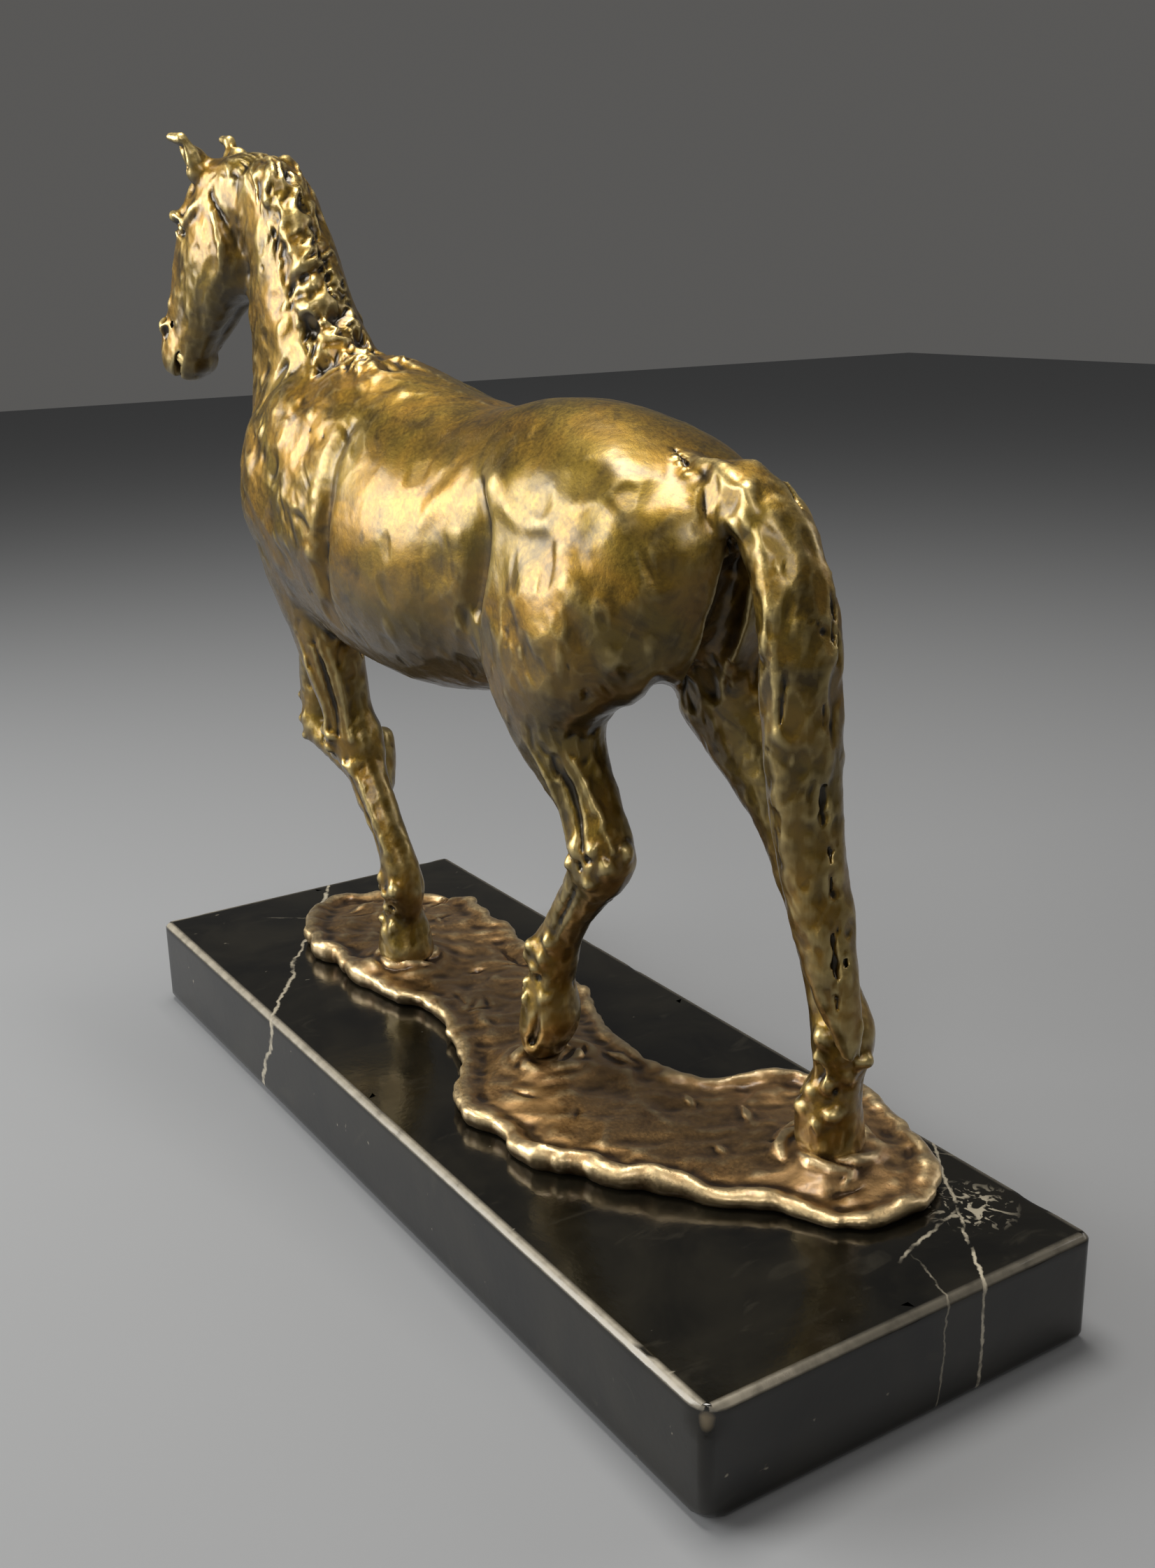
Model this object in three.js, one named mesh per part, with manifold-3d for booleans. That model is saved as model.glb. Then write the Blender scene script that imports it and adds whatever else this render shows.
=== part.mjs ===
// Bronze horse on a black marble base, in millimetres.
// Origin: centre of the underside. +X towards the horse's front, +Y to its left, +Z up.
// The bronze is cast in pieces (torso, neck, head, four legs, tail, ground) that are welded together,
// and the ground casting is bolted down to the marble from below.
import * as THREE from "three";
import { LoftGeometry } from "three/addons/geometries/LoftGeometry.js";
import { mergeVertices } from "three/addons/utils/BufferGeometryUtils.js";
import Module from "manifold-3d";

const wasm = await Module();
wasm.setup();

// ---- Driving dimensions ----
const GAP = 0.3; // clearance at every seam and contact
const BASE = { length: 330, width: 118, top: 30, corner: 2.5, chamfer: 1.2 };
const PAD = { inset: 3, thickness: 1 - GAP };
const WALL = 3.5; // bronze wall of the hollow castings
const SOLE = 37.5; // height of a planted hoof's sole
const BOLT = { rod: 3, across: 5.8, nut: 5, washer: 8.5, washerThick: 1.6, bore: 3.6 };
const COUNTERBORE = { radius: 11, depth: 12 };
const BOLT_TIP = 34.6; // how high the studs reach into the ground casting
const DOWEL = { radius: 1.8, below: 3.5, above: 9 };
const STUD_X = { front: 104, rear: -84 };
const STUD_Y = { front: -14, rear: -26 };

// ---- Finishes ----
const bronze = (color) => new THREE.MeshStandardMaterial({ color, roughness: 0.38, metalness: 1 });
const FINISH = {
  bronze: bronze(0x7d6434),
  ground: bronze(0x6b4a2b),
  marble: new THREE.MeshStandardMaterial({ color: 0x14140f, roughness: 0.16, metalness: 0 }),
  baize: new THREE.MeshStandardMaterial({ color: 0x1d3a2a, roughness: 0.95, metalness: 0 }),
  steel: new THREE.MeshStandardMaterial({ color: 0x9a9c9e, roughness: 0.4, metalness: 1 }),
};

// ---- Solids ----
function solidFrom(geometry) {
  const bare = new THREE.BufferGeometry().setIndex(geometry.index);
  bare.setAttribute("position", geometry.getAttribute("position"));
  const merged = mergeVertices(bare, 1e-4);
  const triangles = new Uint32Array(merged.index.array);
  const make = () =>
    new wasm.Manifold(
      new wasm.Mesh({
        numProp: 3,
        vertProperties: new Float32Array(merged.attributes.position.array),
        triVerts: triangles,
      }),
    );
  const made = make();
  if (made.volume() > 0) return made;
  for (let i = 0; i < triangles.length; i += 3) {
    [triangles[i + 1], triangles[i + 2]] = [triangles[i + 2], triangles[i + 1]];
  }
  return make();
}

function meshFrom(name, solid, material) {
  const { vertProperties, triVerts } = solid.getMesh();
  const flat = new THREE.BufferGeometry()
    .setAttribute("position", new THREE.BufferAttribute(vertProperties, 3))
    .setIndex(new THREE.BufferAttribute(triVerts, 1))
    .toNonIndexed();
  flat.computeVertexNormals();
  const mesh = new THREE.Mesh(flat, material);
  mesh.name = name;
  return mesh;
}

const join = (...solids) => solids.reduce((a, b) => a.add(b));

function cylinder(radius, from, to, x, y, sides = 24) {
  const shape = new THREE.CylinderGeometry(radius, radius, to - from, sides);
  shape.rotateX(Math.PI / 2).translate(x, y, (from + to) / 2);
  return solidFrom(shape);
}

// A muscle: an ellipsoid at a point, with its half sizes and its tilt about Y and Z in degrees.
function muscle([x, y, z], [a, b, c], tilt = 0, turn = 0) {
  const shape = new THREE.SphereGeometry(1, 12, 8).scale(a, b, c);
  shape.rotateY(THREE.MathUtils.degToRad(tilt)).rotateZ(THREE.MathUtils.degToRad(turn));
  return solidFrom(shape.translate(x, y, z));
}

// ---- Sweeps: a limb, neck or trunk as rings strung along its stations ----
// A station is [x, y, z, over, under, left, right]: a centre and four half sizes. "Over" is the heel
// side of a leg, the crest side of the neck, the brow side of the head and the front of the tail.
function catmull(a, b, c, d, t) {
  return 0.5 * (2 * b + (c - a) * t + (2 * a - 5 * b + 4 * c - d) * t * t
    + (3 * b - a - 3 * c + d) * t * t * t);
}

function sweep(stations, { steps = 3, sides = 16, square = 2.2, level = false } = {}) {
  const last = stations.length - 1;
  const pick = (i) => stations[THREE.MathUtils.clamp(i, 0, last)];
  const fine = [];
  for (let i = 0; i < last; i++) {
    for (let s = 0; s < steps; s++) {
      const mix = (k) => catmull(pick(i - 1)[k], pick(i)[k], pick(i + 1)[k], pick(i + 2)[k], s / steps);
      fine.push([0, 1, 2, 3, 4, 5, 6].map(mix));
    }
  }
  fine.push(stations[last]);
  const centre = fine.map((f) => new THREE.Vector3(f[0], f[1], f[2]));
  return fine.map((f, i) => {
    const along = centre[Math.min(i + 1, fine.length - 1)].clone()
      .sub(centre[Math.max(i - 1, 0)]).normalize();
    const side = level ? new THREE.Vector3(0, 1, 0)
      : new THREE.Vector3(0, 1, 0).addScaledVector(along, -along.y).normalize();
    const depth = level ? new THREE.Vector3(0, 0, 1) : along.clone().cross(side);
    return { centre: centre[i], along, side, depth, sizes: f.slice(3), sides, square };
  });
}

// The points of one ring, grown by a margin.
function ringPoints(ring, grow = 0, shift = 0) {
  const [over, under, left, right] = ring.sizes;
  const points = [];
  for (let k = 0; k < ring.sides; k++) {
    const angle = (2 * Math.PI * k) / ring.sides;
    const power = 2 / ring.square;
    const c = Math.sign(Math.cos(angle)) * Math.abs(Math.cos(angle)) ** power;
    const s = Math.sign(Math.sin(angle)) * Math.abs(Math.sin(angle)) ** power;
    const u = c * Math.max(0.4, (c > 0 ? over : under) + grow);
    const v = s * Math.max(0.4, (s > 0 ? left : right) + grow);
    points.push(ring.centre.clone().addScaledVector(ring.depth, u).addScaledVector(ring.side, v)
      .addScaledVector(ring.along, shift));
  }
  const turn = ring.depth.clone().cross(ring.side).dot(ring.along);
  return turn > 0 ? points : points.reverse(); // counterclockwise seen from the loft's end
}

function loft(rings, grow = 0) {
  const last = rings.length - 1;
  const sections = rings.map((ring, i) => {
    const shift = i === 0 ? -grow : i === last ? grow : 0;
    return ringPoints(ring, grow, shift);
  });
  return solidFrom(new LoftGeometry(sections, { capStart: true, capEnd: true }));
}

// ---- Base ----
function roundedRectangle(length, width, radius) {
  const shape = new THREE.Shape();
  const [x, y] = [length / 2 - radius, width / 2 - radius];
  shape.absarc(x, y, radius, 0, Math.PI / 2);
  shape.absarc(-x, y, radius, Math.PI / 2, Math.PI);
  shape.absarc(-x, -y, radius, Math.PI, 1.5 * Math.PI);
  shape.absarc(x, -y, radius, 1.5 * Math.PI, 2 * Math.PI);
  return shape;
}

function marbleBase() {
  const { length, width, top, corner, chamfer } = BASE;
  const ring = (z, inset) =>
    roundedRectangle(length - 2 * inset, width - 2 * inset, corner).getPoints(4)
      .map((p) => new THREE.Vector3(p.x, p.y, z));
  const underside = PAD.thickness + GAP;
  const sections = [ring(underside, 0), ring(top - chamfer, 0), ring(top, chamfer)];
  let slab = solidFrom(new LoftGeometry(sections, { capStart: true, capEnd: true }));
  for (const end of ["front", "rear"]) {
    const [x, y] = [STUD_X[end], STUD_Y[end]];
    slab = slab.subtract(cylinder(BOLT.bore, 0, top + 1, x, y));
    slab = slab.subtract(cylinder(COUNTERBORE.radius, 0, underside + COUNTERBORE.depth, x, y, 32));
  }
  return slab;
}

function baizePad() {
  const shape = roundedRectangle(BASE.length - 2 * PAD.inset, BASE.width - 2 * PAD.inset, BASE.corner);
  const sheet = { depth: PAD.thickness, bevelEnabled: false, curveSegments: 4 };
  return solidFrom(new THREE.ExtrudeGeometry(shape, sheet));
}

// ---- Fixings under the base ----
const SEAT = PAD.thickness + GAP + COUNTERBORE.depth; // roof of the counterbore
const washerTop = SEAT - GAP;
const nutTop = washerTop - BOLT.washerThick - GAP;

const stud = (x, y) => cylinder(BOLT.rod, nutTop - BOLT.nut - 1.5, BOLT_TIP, x, y);

function washer(x, y) {
  const disc = cylinder(BOLT.washer, washerTop - BOLT.washerThick, washerTop, x, y, 32);
  return disc.subtract(cylinder(BOLT.rod + GAP, 0, SEAT, x, y));
}

function nut(x, y) {
  const hexagon = cylinder(BOLT.across, nutTop - BOLT.nut, nutTop, x, y, 6);
  return hexagon.subtract(cylinder(BOLT.rod + GAP, 0, SEAT, x, y));
}

// ---- Legs: stations run from the sole up ----
const LEFT_FORE = [
  [70, 7, SOLE, 9.5, 9, 8.2, 8.2],
  [70.3, 7, 43, 8.4, 8, 7.6, 7.6],
  [70.6, 7, 48, 7.2, 7, 6.8, 6.8],
  [70, 7.5, 54.5, 5.6, 5.4, 5.1, 5.1],
  [67.3, 8.3, 63, 6.8, 6.2, 5.8, 5.8],
  [68, 9.2, 72.5, 4.9, 4.9, 4.3, 4.3],
  [74.4, 10.8, 86.5, 4.8, 4.8, 4.3, 4.3],
  [82.4, 12, 99.5, 6.2, 5.4, 5.4, 5.6],
  [88.6, 12.6, 109.5, 9.6, 7.6, 7.2, 7.8],
  [89.6, 14.2, 119.5, 7.6, 7.2, 6.6, 6.6],
  [91.4, 16.4, 133.5, 9.8, 9.5, 8, 8],
  [95, 19, 150, 13, 12, 9, 9],
  [98, 20.5, 166, 17, 17, 11, 11],
  [102, 21, 183, 19, 19, 11, 11],
  [104, 16, 204, 10, 10, 6, 6],
];
// The raised foreleg: hoof tucked under, cannon folded back, forearm swung forward.
const RIGHT_FORE = [
  [108, -2.4, 104, 6, 7, 6, 6],
  [106.2, -2.4, 100, 5.6, 6.6, 5.8, 5.8],
  [103.8, -2.4, 95.5, 5.2, 5.4, 5.2, 5.2],
  [102.2, -2.3, 91, 4.2, 4.2, 4, 4],
  [105.5, -2, 86.5, 4.8, 5.6, 4.8, 4.8],
  [112, -1, 88.5, 3.9, 4.6, 3.7, 3.7],
  [121.5, 0.8, 93, 3.9, 4.6, 3.7, 3.7],
  [131, 2.2, 98, 4.7, 5.1, 4.5, 4.5],
  [137, 2.8, 101.5, 6, 5.8, 5.8, 5.8],
  [138.2, 2.4, 108.5, 6, 6.2, 5.5, 5.5],
  [136.2, 1.6, 122.5, 8, 8.6, 6.7, 6.7],
  [130, 0.5, 139.5, 11, 12, 8.5, 8.5],
  [120, -0.5, 155.5, 14, 16, 10, 10],
  [111, -2, 173, 17, 18, 10, 10],
  [105, -2, 198, 10, 10, 6, 6],
];
// The left hind leg rests on the tip of its toe, heel raised.
const LEFT_HIND = [
  [-18.5, 8, SOLE + 1.5, 4, 4, 5, 5],
  [-20.5, 8, 46, 6.4, 6.4, 6.5, 6.5],
  [-24, 8, 54.5, 8.2, 7.8, 7.2, 7.2],
  [-24.6, 8, 63.5, 5.6, 5.4, 5.1, 5.1],
  [-26.3, 8, 73, 6.8, 5.8, 5.6, 5.6],
  [-31, 8, 80, 5, 4.8, 4.4, 4.4],
  [-38, 8.3, 89, 5, 4.8, 4.4, 4.4],
  [-47, 8.6, 100, 6.2, 5.8, 5.3, 5.3],
  [-53.7, 8.6, 109, 9, 8, 6.9, 6.9],
  [-50, 9, 119, 8, 7, 6.2, 6.2],
  [-42, 10.5, 132, 11, 11, 7.8, 7.8],
  [-37, 12, 146, 17, 20, 10.5, 10.5],
  [-40, 12, 162, 25, 35, 14, 14],
  [-47, 8, 182, 27, 33, 16, 14],
  [-52, 1, 203, 12, 12, 6, 6],
];
const RIGHT_HIND = [
  [-105, -26, SOLE, 9, 7.8, 7.7, 7.7],
  [-105, -26, 43, 8.4, 7.6, 7.5, 7.5],
  [-105, -26.2, 49.5, 7.6, 7.2, 7, 7],
  [-107, -26.8, 57.5, 5.4, 5.4, 5.1, 5.1],
  [-108, -27, 69, 8, 7, 6.8, 7],
  [-105, -27, 78, 6, 5.8, 5.4, 5.8],
  [-101, -27, 87, 5.4, 5.4, 5, 5],
  [-97, -27.3, 98, 5.6, 6.4, 5.2, 5.2],
  [-93.5, -27.5, 108, 7.4, 9, 6.6, 6.6],
  [-87, -27, 119, 7, 7.5, 6, 6],
  [-77, -26.5, 133, 10.5, 11, 7.6, 7.6],
  [-67, -26.5, 147, 15, 17, 10.5, 10.5],
  [-59, -27, 162, 23, 24, 14, 14],
  [-54, -26, 182, 25, 27, 14, 16],
  [-52, -19, 203, 12, 12, 6, 6],
];
const SEAM_STATION = 11; // each leg is welded on just below the elbow or stifle
const LEG_STEPS = 2;

function leg(stations) {
  const rings = sweep(stations, { steps: LEG_STEPS, sides: 12 });
  const seam = SEAM_STATION * LEG_STEPS;
  return {
    casting: loft(rings.slice(0, seam + 1)),
    cutter: loft(rings.slice(0, seam + 1), GAP),
    root: loft(rings.slice(seam - 1)),
    sole: new THREE.Vector3(...stations[0]),
    foot: rings.slice(0, 2 * LEG_STEPS + 1),
  };
}

// ---- Trunk: stations run from the breast back to the buttocks ----
// A trunk station is [x, y, z, above, below, left, right].
const TRUNK = [
  [132, 11, 192, 3, 5, 3, 3],
  [129.5, 11, 192, 11, 14, 10, 10],
  [124, 10.5, 192, 20, 22, 17, 17],
  [116, 10, 192, 29, 31, 22, 22.5],
  [103, 9.5, 191.5, 37, 38, 26.5, 26.5],
  [87, 7.5, 188, 42.5, 41, 28.5, 28.5],
  [70, 5, 185, 46.5, 43, 30.5, 30.5],
  [51, 2, 182, 44, 43, 33.5, 33.5],
  [30, -1, 179, 41.5, 41, 34.5, 34.5],
  [9, -4, 179, 39, 38, 33, 33],
  [-10, -6, 181.5, 40, 36, 31, 31],
  [-27, -7.5, 184, 38.5, 34, 31, 31],
  [-46, -9, 186, 33.5, 32, 29.5, 29.5],
  [-64, -9.5, 187, 25.5, 30, 26, 26],
  [-77, -10, 187, 19, 25, 20.5, 20.5],
  [-84, -10, 189, 12, 18, 13, 13],
  [-87.5, -10, 190, 4, 6, 4, 4],
];

// ---- Neck and head ----
const NECK = [
  [95, 8.5, 199, 34, 40, 19.5, 19.5],
  [102, 9.5, 214.5, 31, 36, 17.5, 17],
  [106.5, 10.5, 229.5, 26, 30, 14.5, 14.5],
  [109, 12, 245, 21.5, 24, 12.4, 12.4],
  [111.5, 13, 260, 18, 20, 10.8, 10.8],
  [114.5, 14.5, 273, 15, 17, 9.7, 9.7],
  [121, 16, 284, 11, 12.5, 8.2, 8.2],
];
const NECK_STEPS = 2;
const NECK_SEAM = 1;
const HEAD_SEAM = 5;

const HEAD = [
  [117, 14.5, 279, 9, 13, 8.2, 8.2],
  [129, 17, 282, 10, 17, 9.3, 9.3],
  [142, 20.5, 275.5, 14, 21, 10.4, 10.4],
  [151.5, 23.5, 263.5, 14.5, 20.5, 9.6, 9.6],
  [158, 26, 252, 10.5, 17.5, 8, 8],
  [164, 28, 241, 8.5, 13, 7, 7],
  [168.5, 29.5, 230.5, 8, 11, 7.2, 7.2],
  [170.5, 30.3, 224.5, 5, 8, 5.2, 5.2],
];

const TAIL = [
  [-75, -10, 203, 6, 6, 7, 7],
  [-85, -10.5, 205.5, 6.5, 6.5, 7, 7],
  [-96, -11, 199, 6.5, 7, 7.4, 7.4],
  [-103, -12, 187, 7, 7.5, 8.4, 8.8],
  [-106.2, -12.4, 170, 7.4, 7.4, 8.8, 9.4],
  [-106.5, -13.3, 152, 7.2, 7.2, 8.8, 9.2],
  [-106.8, -14.2, 134, 6.8, 6.8, 8, 8.4],
  [-109, -15.3, 116, 6.2, 6.2, 7.2, 7.6],
  [-113, -16.4, 99, 5.3, 5.3, 6.2, 6.4],
  [-117.8, -17.2, 84, 3.8, 3.8, 4.4, 4.4],
  [-121.8, -18.2, 72, 1.1, 1.1, 1.3, 1.3],
];

// ---- Ground casting: an irregular bronze mound under the hooves ----
const OUTLINE = [
  [-135, -20], [-132, -41], [-112, -52], [-84, -56], [-62, -46], [-50, -25], [-24, -20], [8, -28],
  [45, -34], [78, -37], [104, -39], [124, -28], [142, -8], [128, 16], [98, 28], [62, 25], [34, 18],
  [6, 26], [-16, 37], [-44, 41], [-76, 32], [-100, 14], [-124, -2],
];
const GROUND = { thickness: 5, mound: 3.2, ripple: 0.7, cell: 7.5 };

function groundHeight(x, y) {
  const hoof = (cx, cy, rise, reach) => rise * Math.exp(-((x - cx) ** 2 + (y - cy) ** 2) / reach ** 2);
  const ripple = Math.sin(x * 0.11 + 1.3) * Math.cos(y * 0.16 - 0.4) + 0.5 * Math.sin(x * 0.23 + y * 0.19);
  return BASE.top + GAP + GROUND.thickness + GROUND.ripple * ripple
    + hoof(71, 7, GROUND.mound, 22) + hoof(-106, -26, GROUND.mound, 20) + hoof(-24, 8, GROUND.mound, 18);
}

function groundBlock() {
  const [length, width] = [300, 110];
  const [across, along] = [Math.round(width / GROUND.cell), Math.round(length / GROUND.cell)];
  const depth = 20;
  const box = new THREE.BoxGeometry(length, width, depth, along, across, 1);
  const place = box.attributes.position;
  for (let i = 0; i < place.count; i++) {
    const [x, y] = [place.getX(i), place.getY(i)];
    place.setZ(i, place.getZ(i) > 0 ? groundHeight(x, y) : BASE.top + GAP);
  }
  return solidFrom(box);
}

function groundOutline() {
  const corners = OUTLINE.map(([x, y]) => new THREE.Vector3(x, y, 0));
  const curve = new THREE.CatmullRomCurve3(corners, true, "centripetal");
  const shape = new THREE.Shape(curve.getPoints(60).slice(0, -1).map((p) => new THREE.Vector2(p.x, p.y)));
  const prism = new THREE.ExtrudeGeometry(shape, { depth: 30, bevelEnabled: false });
  return solidFrom(prism.translate(0, 0, BASE.top - 5));
}

// ---- Assembly ----
const leftFore = leg(LEFT_FORE);
const rightFore = leg(RIGHT_FORE);
const leftHind = leg(LEFT_HIND);
const rightHind = leg(RIGHT_HIND);
const planted = { left_fore: leftFore, left_hind: leftHind, right_hind: rightHind };

const trunkRings = sweep(TRUNK, { steps: 2, sides: 22, square: 2.15, level: true });
const neckRings = sweep(NECK, { steps: NECK_STEPS, sides: 16 });
const headRings = sweep(HEAD, { steps: 2, sides: 14 });
const tailRings = sweep(TAIL, { steps: 2, sides: 12 });

const neckCut = NECK_SEAM * NECK_STEPS;
const headCut = HEAD_SEAM * NECK_STEPS;
const neck = loft(neckRings.slice(neckCut, headCut + 1));
const neckCutter = loft(neckRings.slice(neckCut, headCut + 1), GAP);
const hollowNeckRings = sweep(NECK.slice(0, HEAD_SEAM), { steps: 1, sides: 10 });
const neckHollow = loft(hollowNeckRings, -WALL - 0.5);

// Ears: slim cones that curl outwards a little.
function ear(base, tip) {
  const middle = base.clone().lerp(tip, 0.45);
  const station = (p, r) => [p.x, p.y, p.z, r * 0.6, r * 0.6, r, r];
  return loft(sweep([station(base, 3), station(middle, 3.1), station(tip, 1)], { steps: 3, sides: 10 }));
}
const leftEar = ear(new THREE.Vector3(139, 25, 284), new THREE.Vector3(148, 34, 298));
const rightEar = ear(new THREE.Vector3(137, 14, 284), new THREE.Vector3(147.5, 15, 297.5));
const jowls = muscle([139, 20, 263], [14, 10.8, 15], 0, 20);

const head = join(loft(headRings), loft(neckRings.slice(headCut - 1)), jowls, leftEar, rightEar)
  .subtract(neckCutter);

const tail = loft(tailRings.slice(2));
const tailRoot = loft(tailRings.slice(0, 3));

const torsoSkin = join(
  loft(trunkRings),
  loft(neckRings.slice(0, neckCut + 1)),
  leftFore.root,
  rightFore.root,
  leftHind.root,
  rightHind.root,
  tailRoot,
  muscle([119, 21, 184], [12, 10, 17], 10),
  muscle([120, 1, 184], [12, 10, 17], 10),
  muscle([-24, 10, 197], [17, 13, 13], 25),
  muscle([-24, -26, 197], [17, 13, 13], 25),
);
const hollowRings = sweep(TRUNK.slice(2, -2), { steps: 1, sides: 12, level: true });
const trunkHollow = loft(hollowRings.slice(1, -1), -WALL - 2);
const torso = [leftFore, rightFore, leftHind, rightHind]
  .reduce((solid, { cutter }) => solid.subtract(cutter), torsoSkin)
  .subtract(trunkHollow)
  .subtract(neckHollow)
  .subtract(neckCutter)
  .subtract(loft(tailRings.slice(2), GAP));

let ground = groundBlock().intersect(groundOutline());
const dowels = {};
for (const [name, { sole, foot }] of Object.entries(planted)) {
  const { x, y, z } = sole;
  ground = ground.subtract(loft(foot, GAP + 0.2));
  ground = ground.subtract(cylinder(DOWEL.radius + GAP, 0, z + 10, x, y));
  dowels[name] = cylinder(DOWEL.radius, z - DOWEL.below, z + DOWEL.above, x, y, 16);
}
for (const end of ["front", "rear"]) {
  ground = ground.subtract(cylinder(BOLT.rod + GAP, 0, BOLT_TIP + GAP, STUD_X[end], STUD_Y[end]));
}

function footBored({ casting, sole }) {
  const hole = cylinder(DOWEL.radius + GAP, sole.z - 5, sole.z + DOWEL.above + GAP, sole.x, sole.y, 16);
  return casting.subtract(hole);
}

const horse = new THREE.Group();
horse.name = "bronze_horse_on_marble";
const add = (name, solid, material) => horse.add(meshFrom(name, solid, material));

add("marble_base", marbleBase(), FINISH.marble);
add("baize_pad", baizePad(), FINISH.baize);
add("ground_casting", ground, FINISH.ground);
add("torso_casting", torso, FINISH.bronze);
add("neck_casting", neck.subtract(neckHollow), FINISH.bronze);
add("head_casting", head, FINISH.bronze);
add("left_fore_leg", footBored(leftFore), FINISH.bronze);
add("right_fore_leg", rightFore.casting, FINISH.bronze);
add("left_hind_leg", footBored(leftHind), FINISH.bronze);
add("right_hind_leg", footBored(rightHind), FINISH.bronze);
add("tail_casting", tail, FINISH.bronze);
for (const [name, dowel] of Object.entries(dowels)) add(`${name}_dowel`, dowel, FINISH.steel);
for (const end of ["front", "rear"]) {
  const [x, y] = [STUD_X[end], STUD_Y[end]];
  add(`${end}_stud`, stud(x, y), FINISH.steel);
  add(`${end}_washer`, washer(x, y), FINISH.steel);
  add(`${end}_nut`, nut(x, y), FINISH.steel);
}

export default horse;
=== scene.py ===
"""Bronze horse on a black marble slab: its looks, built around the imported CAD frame."""
import math

import bmesh
import bpy
import numpy as np
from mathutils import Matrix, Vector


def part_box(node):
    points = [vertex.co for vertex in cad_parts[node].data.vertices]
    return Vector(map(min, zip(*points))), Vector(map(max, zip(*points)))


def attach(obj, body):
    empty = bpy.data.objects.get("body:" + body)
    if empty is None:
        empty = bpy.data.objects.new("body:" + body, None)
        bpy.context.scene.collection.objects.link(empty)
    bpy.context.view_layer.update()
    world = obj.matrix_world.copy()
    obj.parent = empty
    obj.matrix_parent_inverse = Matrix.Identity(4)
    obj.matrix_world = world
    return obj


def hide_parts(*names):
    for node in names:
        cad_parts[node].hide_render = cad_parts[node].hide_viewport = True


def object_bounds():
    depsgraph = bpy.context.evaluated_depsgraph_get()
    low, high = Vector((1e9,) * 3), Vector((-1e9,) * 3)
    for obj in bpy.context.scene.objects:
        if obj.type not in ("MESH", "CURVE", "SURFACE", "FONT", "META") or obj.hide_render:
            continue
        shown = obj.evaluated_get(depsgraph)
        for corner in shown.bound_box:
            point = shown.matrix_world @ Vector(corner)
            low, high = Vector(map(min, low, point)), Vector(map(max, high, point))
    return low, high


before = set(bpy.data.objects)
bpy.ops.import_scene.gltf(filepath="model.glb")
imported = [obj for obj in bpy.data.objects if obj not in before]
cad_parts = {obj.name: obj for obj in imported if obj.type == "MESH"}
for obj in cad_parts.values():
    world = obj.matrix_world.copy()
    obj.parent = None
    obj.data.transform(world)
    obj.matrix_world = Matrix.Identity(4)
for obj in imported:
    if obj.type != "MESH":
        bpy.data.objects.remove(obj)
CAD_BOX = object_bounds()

import openvdb as vdb
from mathutils import Matrix, Vector
from mathutils.kdtree import KDTree

MM = 0.001  # the sculpting below is in millimetres, Blender is in metres
FINE = 0.65  # clay grid
COARSE = 2 * FINE  # grid of the first rough form
BAND = 9.0  # how far from a surface distances are kept
GROUND_GRID = 0.8  # clay grid of the ground
SETTLE_ROUNDS = 6
LATTICE = 64  # cells of random values along each axis before the noise repeats
LINE = 8  # curve points between two points of the crest
CASTINGS = [
    "torso_casting", "neck_casting", "head_casting", "tail_casting",
    "left_fore_leg", "right_fore_leg", "left_hind_leg", "right_hind_leg",
]
rng = np.random.default_rng(7)


# ---------------------------------------------------------------- clay on a grid

def cad_triangles(name):
    """Corner points in mm and triangles of a CAD node."""
    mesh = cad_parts[name].data
    mesh.calc_loop_triangles()
    points = np.empty(len(mesh.vertices) * 3, np.float32)
    mesh.vertices.foreach_get("co", points)
    faces = np.empty(len(mesh.loop_triangles) * 3, np.int32)
    mesh.loop_triangles.foreach_get("vertices", faces)
    return points.reshape(-1, 3) / np.float32(MM), faces.reshape(-1, 3).astype(np.uint32)


def unit(v):
    v = np.asarray(v, float)
    return v / np.linalg.norm(v)


def blur(field, sigma, step):
    """Gaussian blur of a 3-D array along each axis."""
    s = sigma / step
    reach = max(1, int(math.ceil(2.5 * s)))
    weights = np.exp(-0.5 * (np.arange(-reach, reach + 1) / s) ** 2)
    weights = (weights / weights.sum()).astype(np.float32)
    for axis in range(3):
        padded = np.pad(field, [(reach, reach) if a == axis else (0, 0) for a in range(3)], "edge")
        out = np.zeros_like(field)
        for i, w in enumerate(weights):
            cut = [slice(None)] * 3
            cut[axis] = slice(i, i + field.shape[axis])
            out += w * padded[tuple(cut)]
        field = out
    return field


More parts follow.
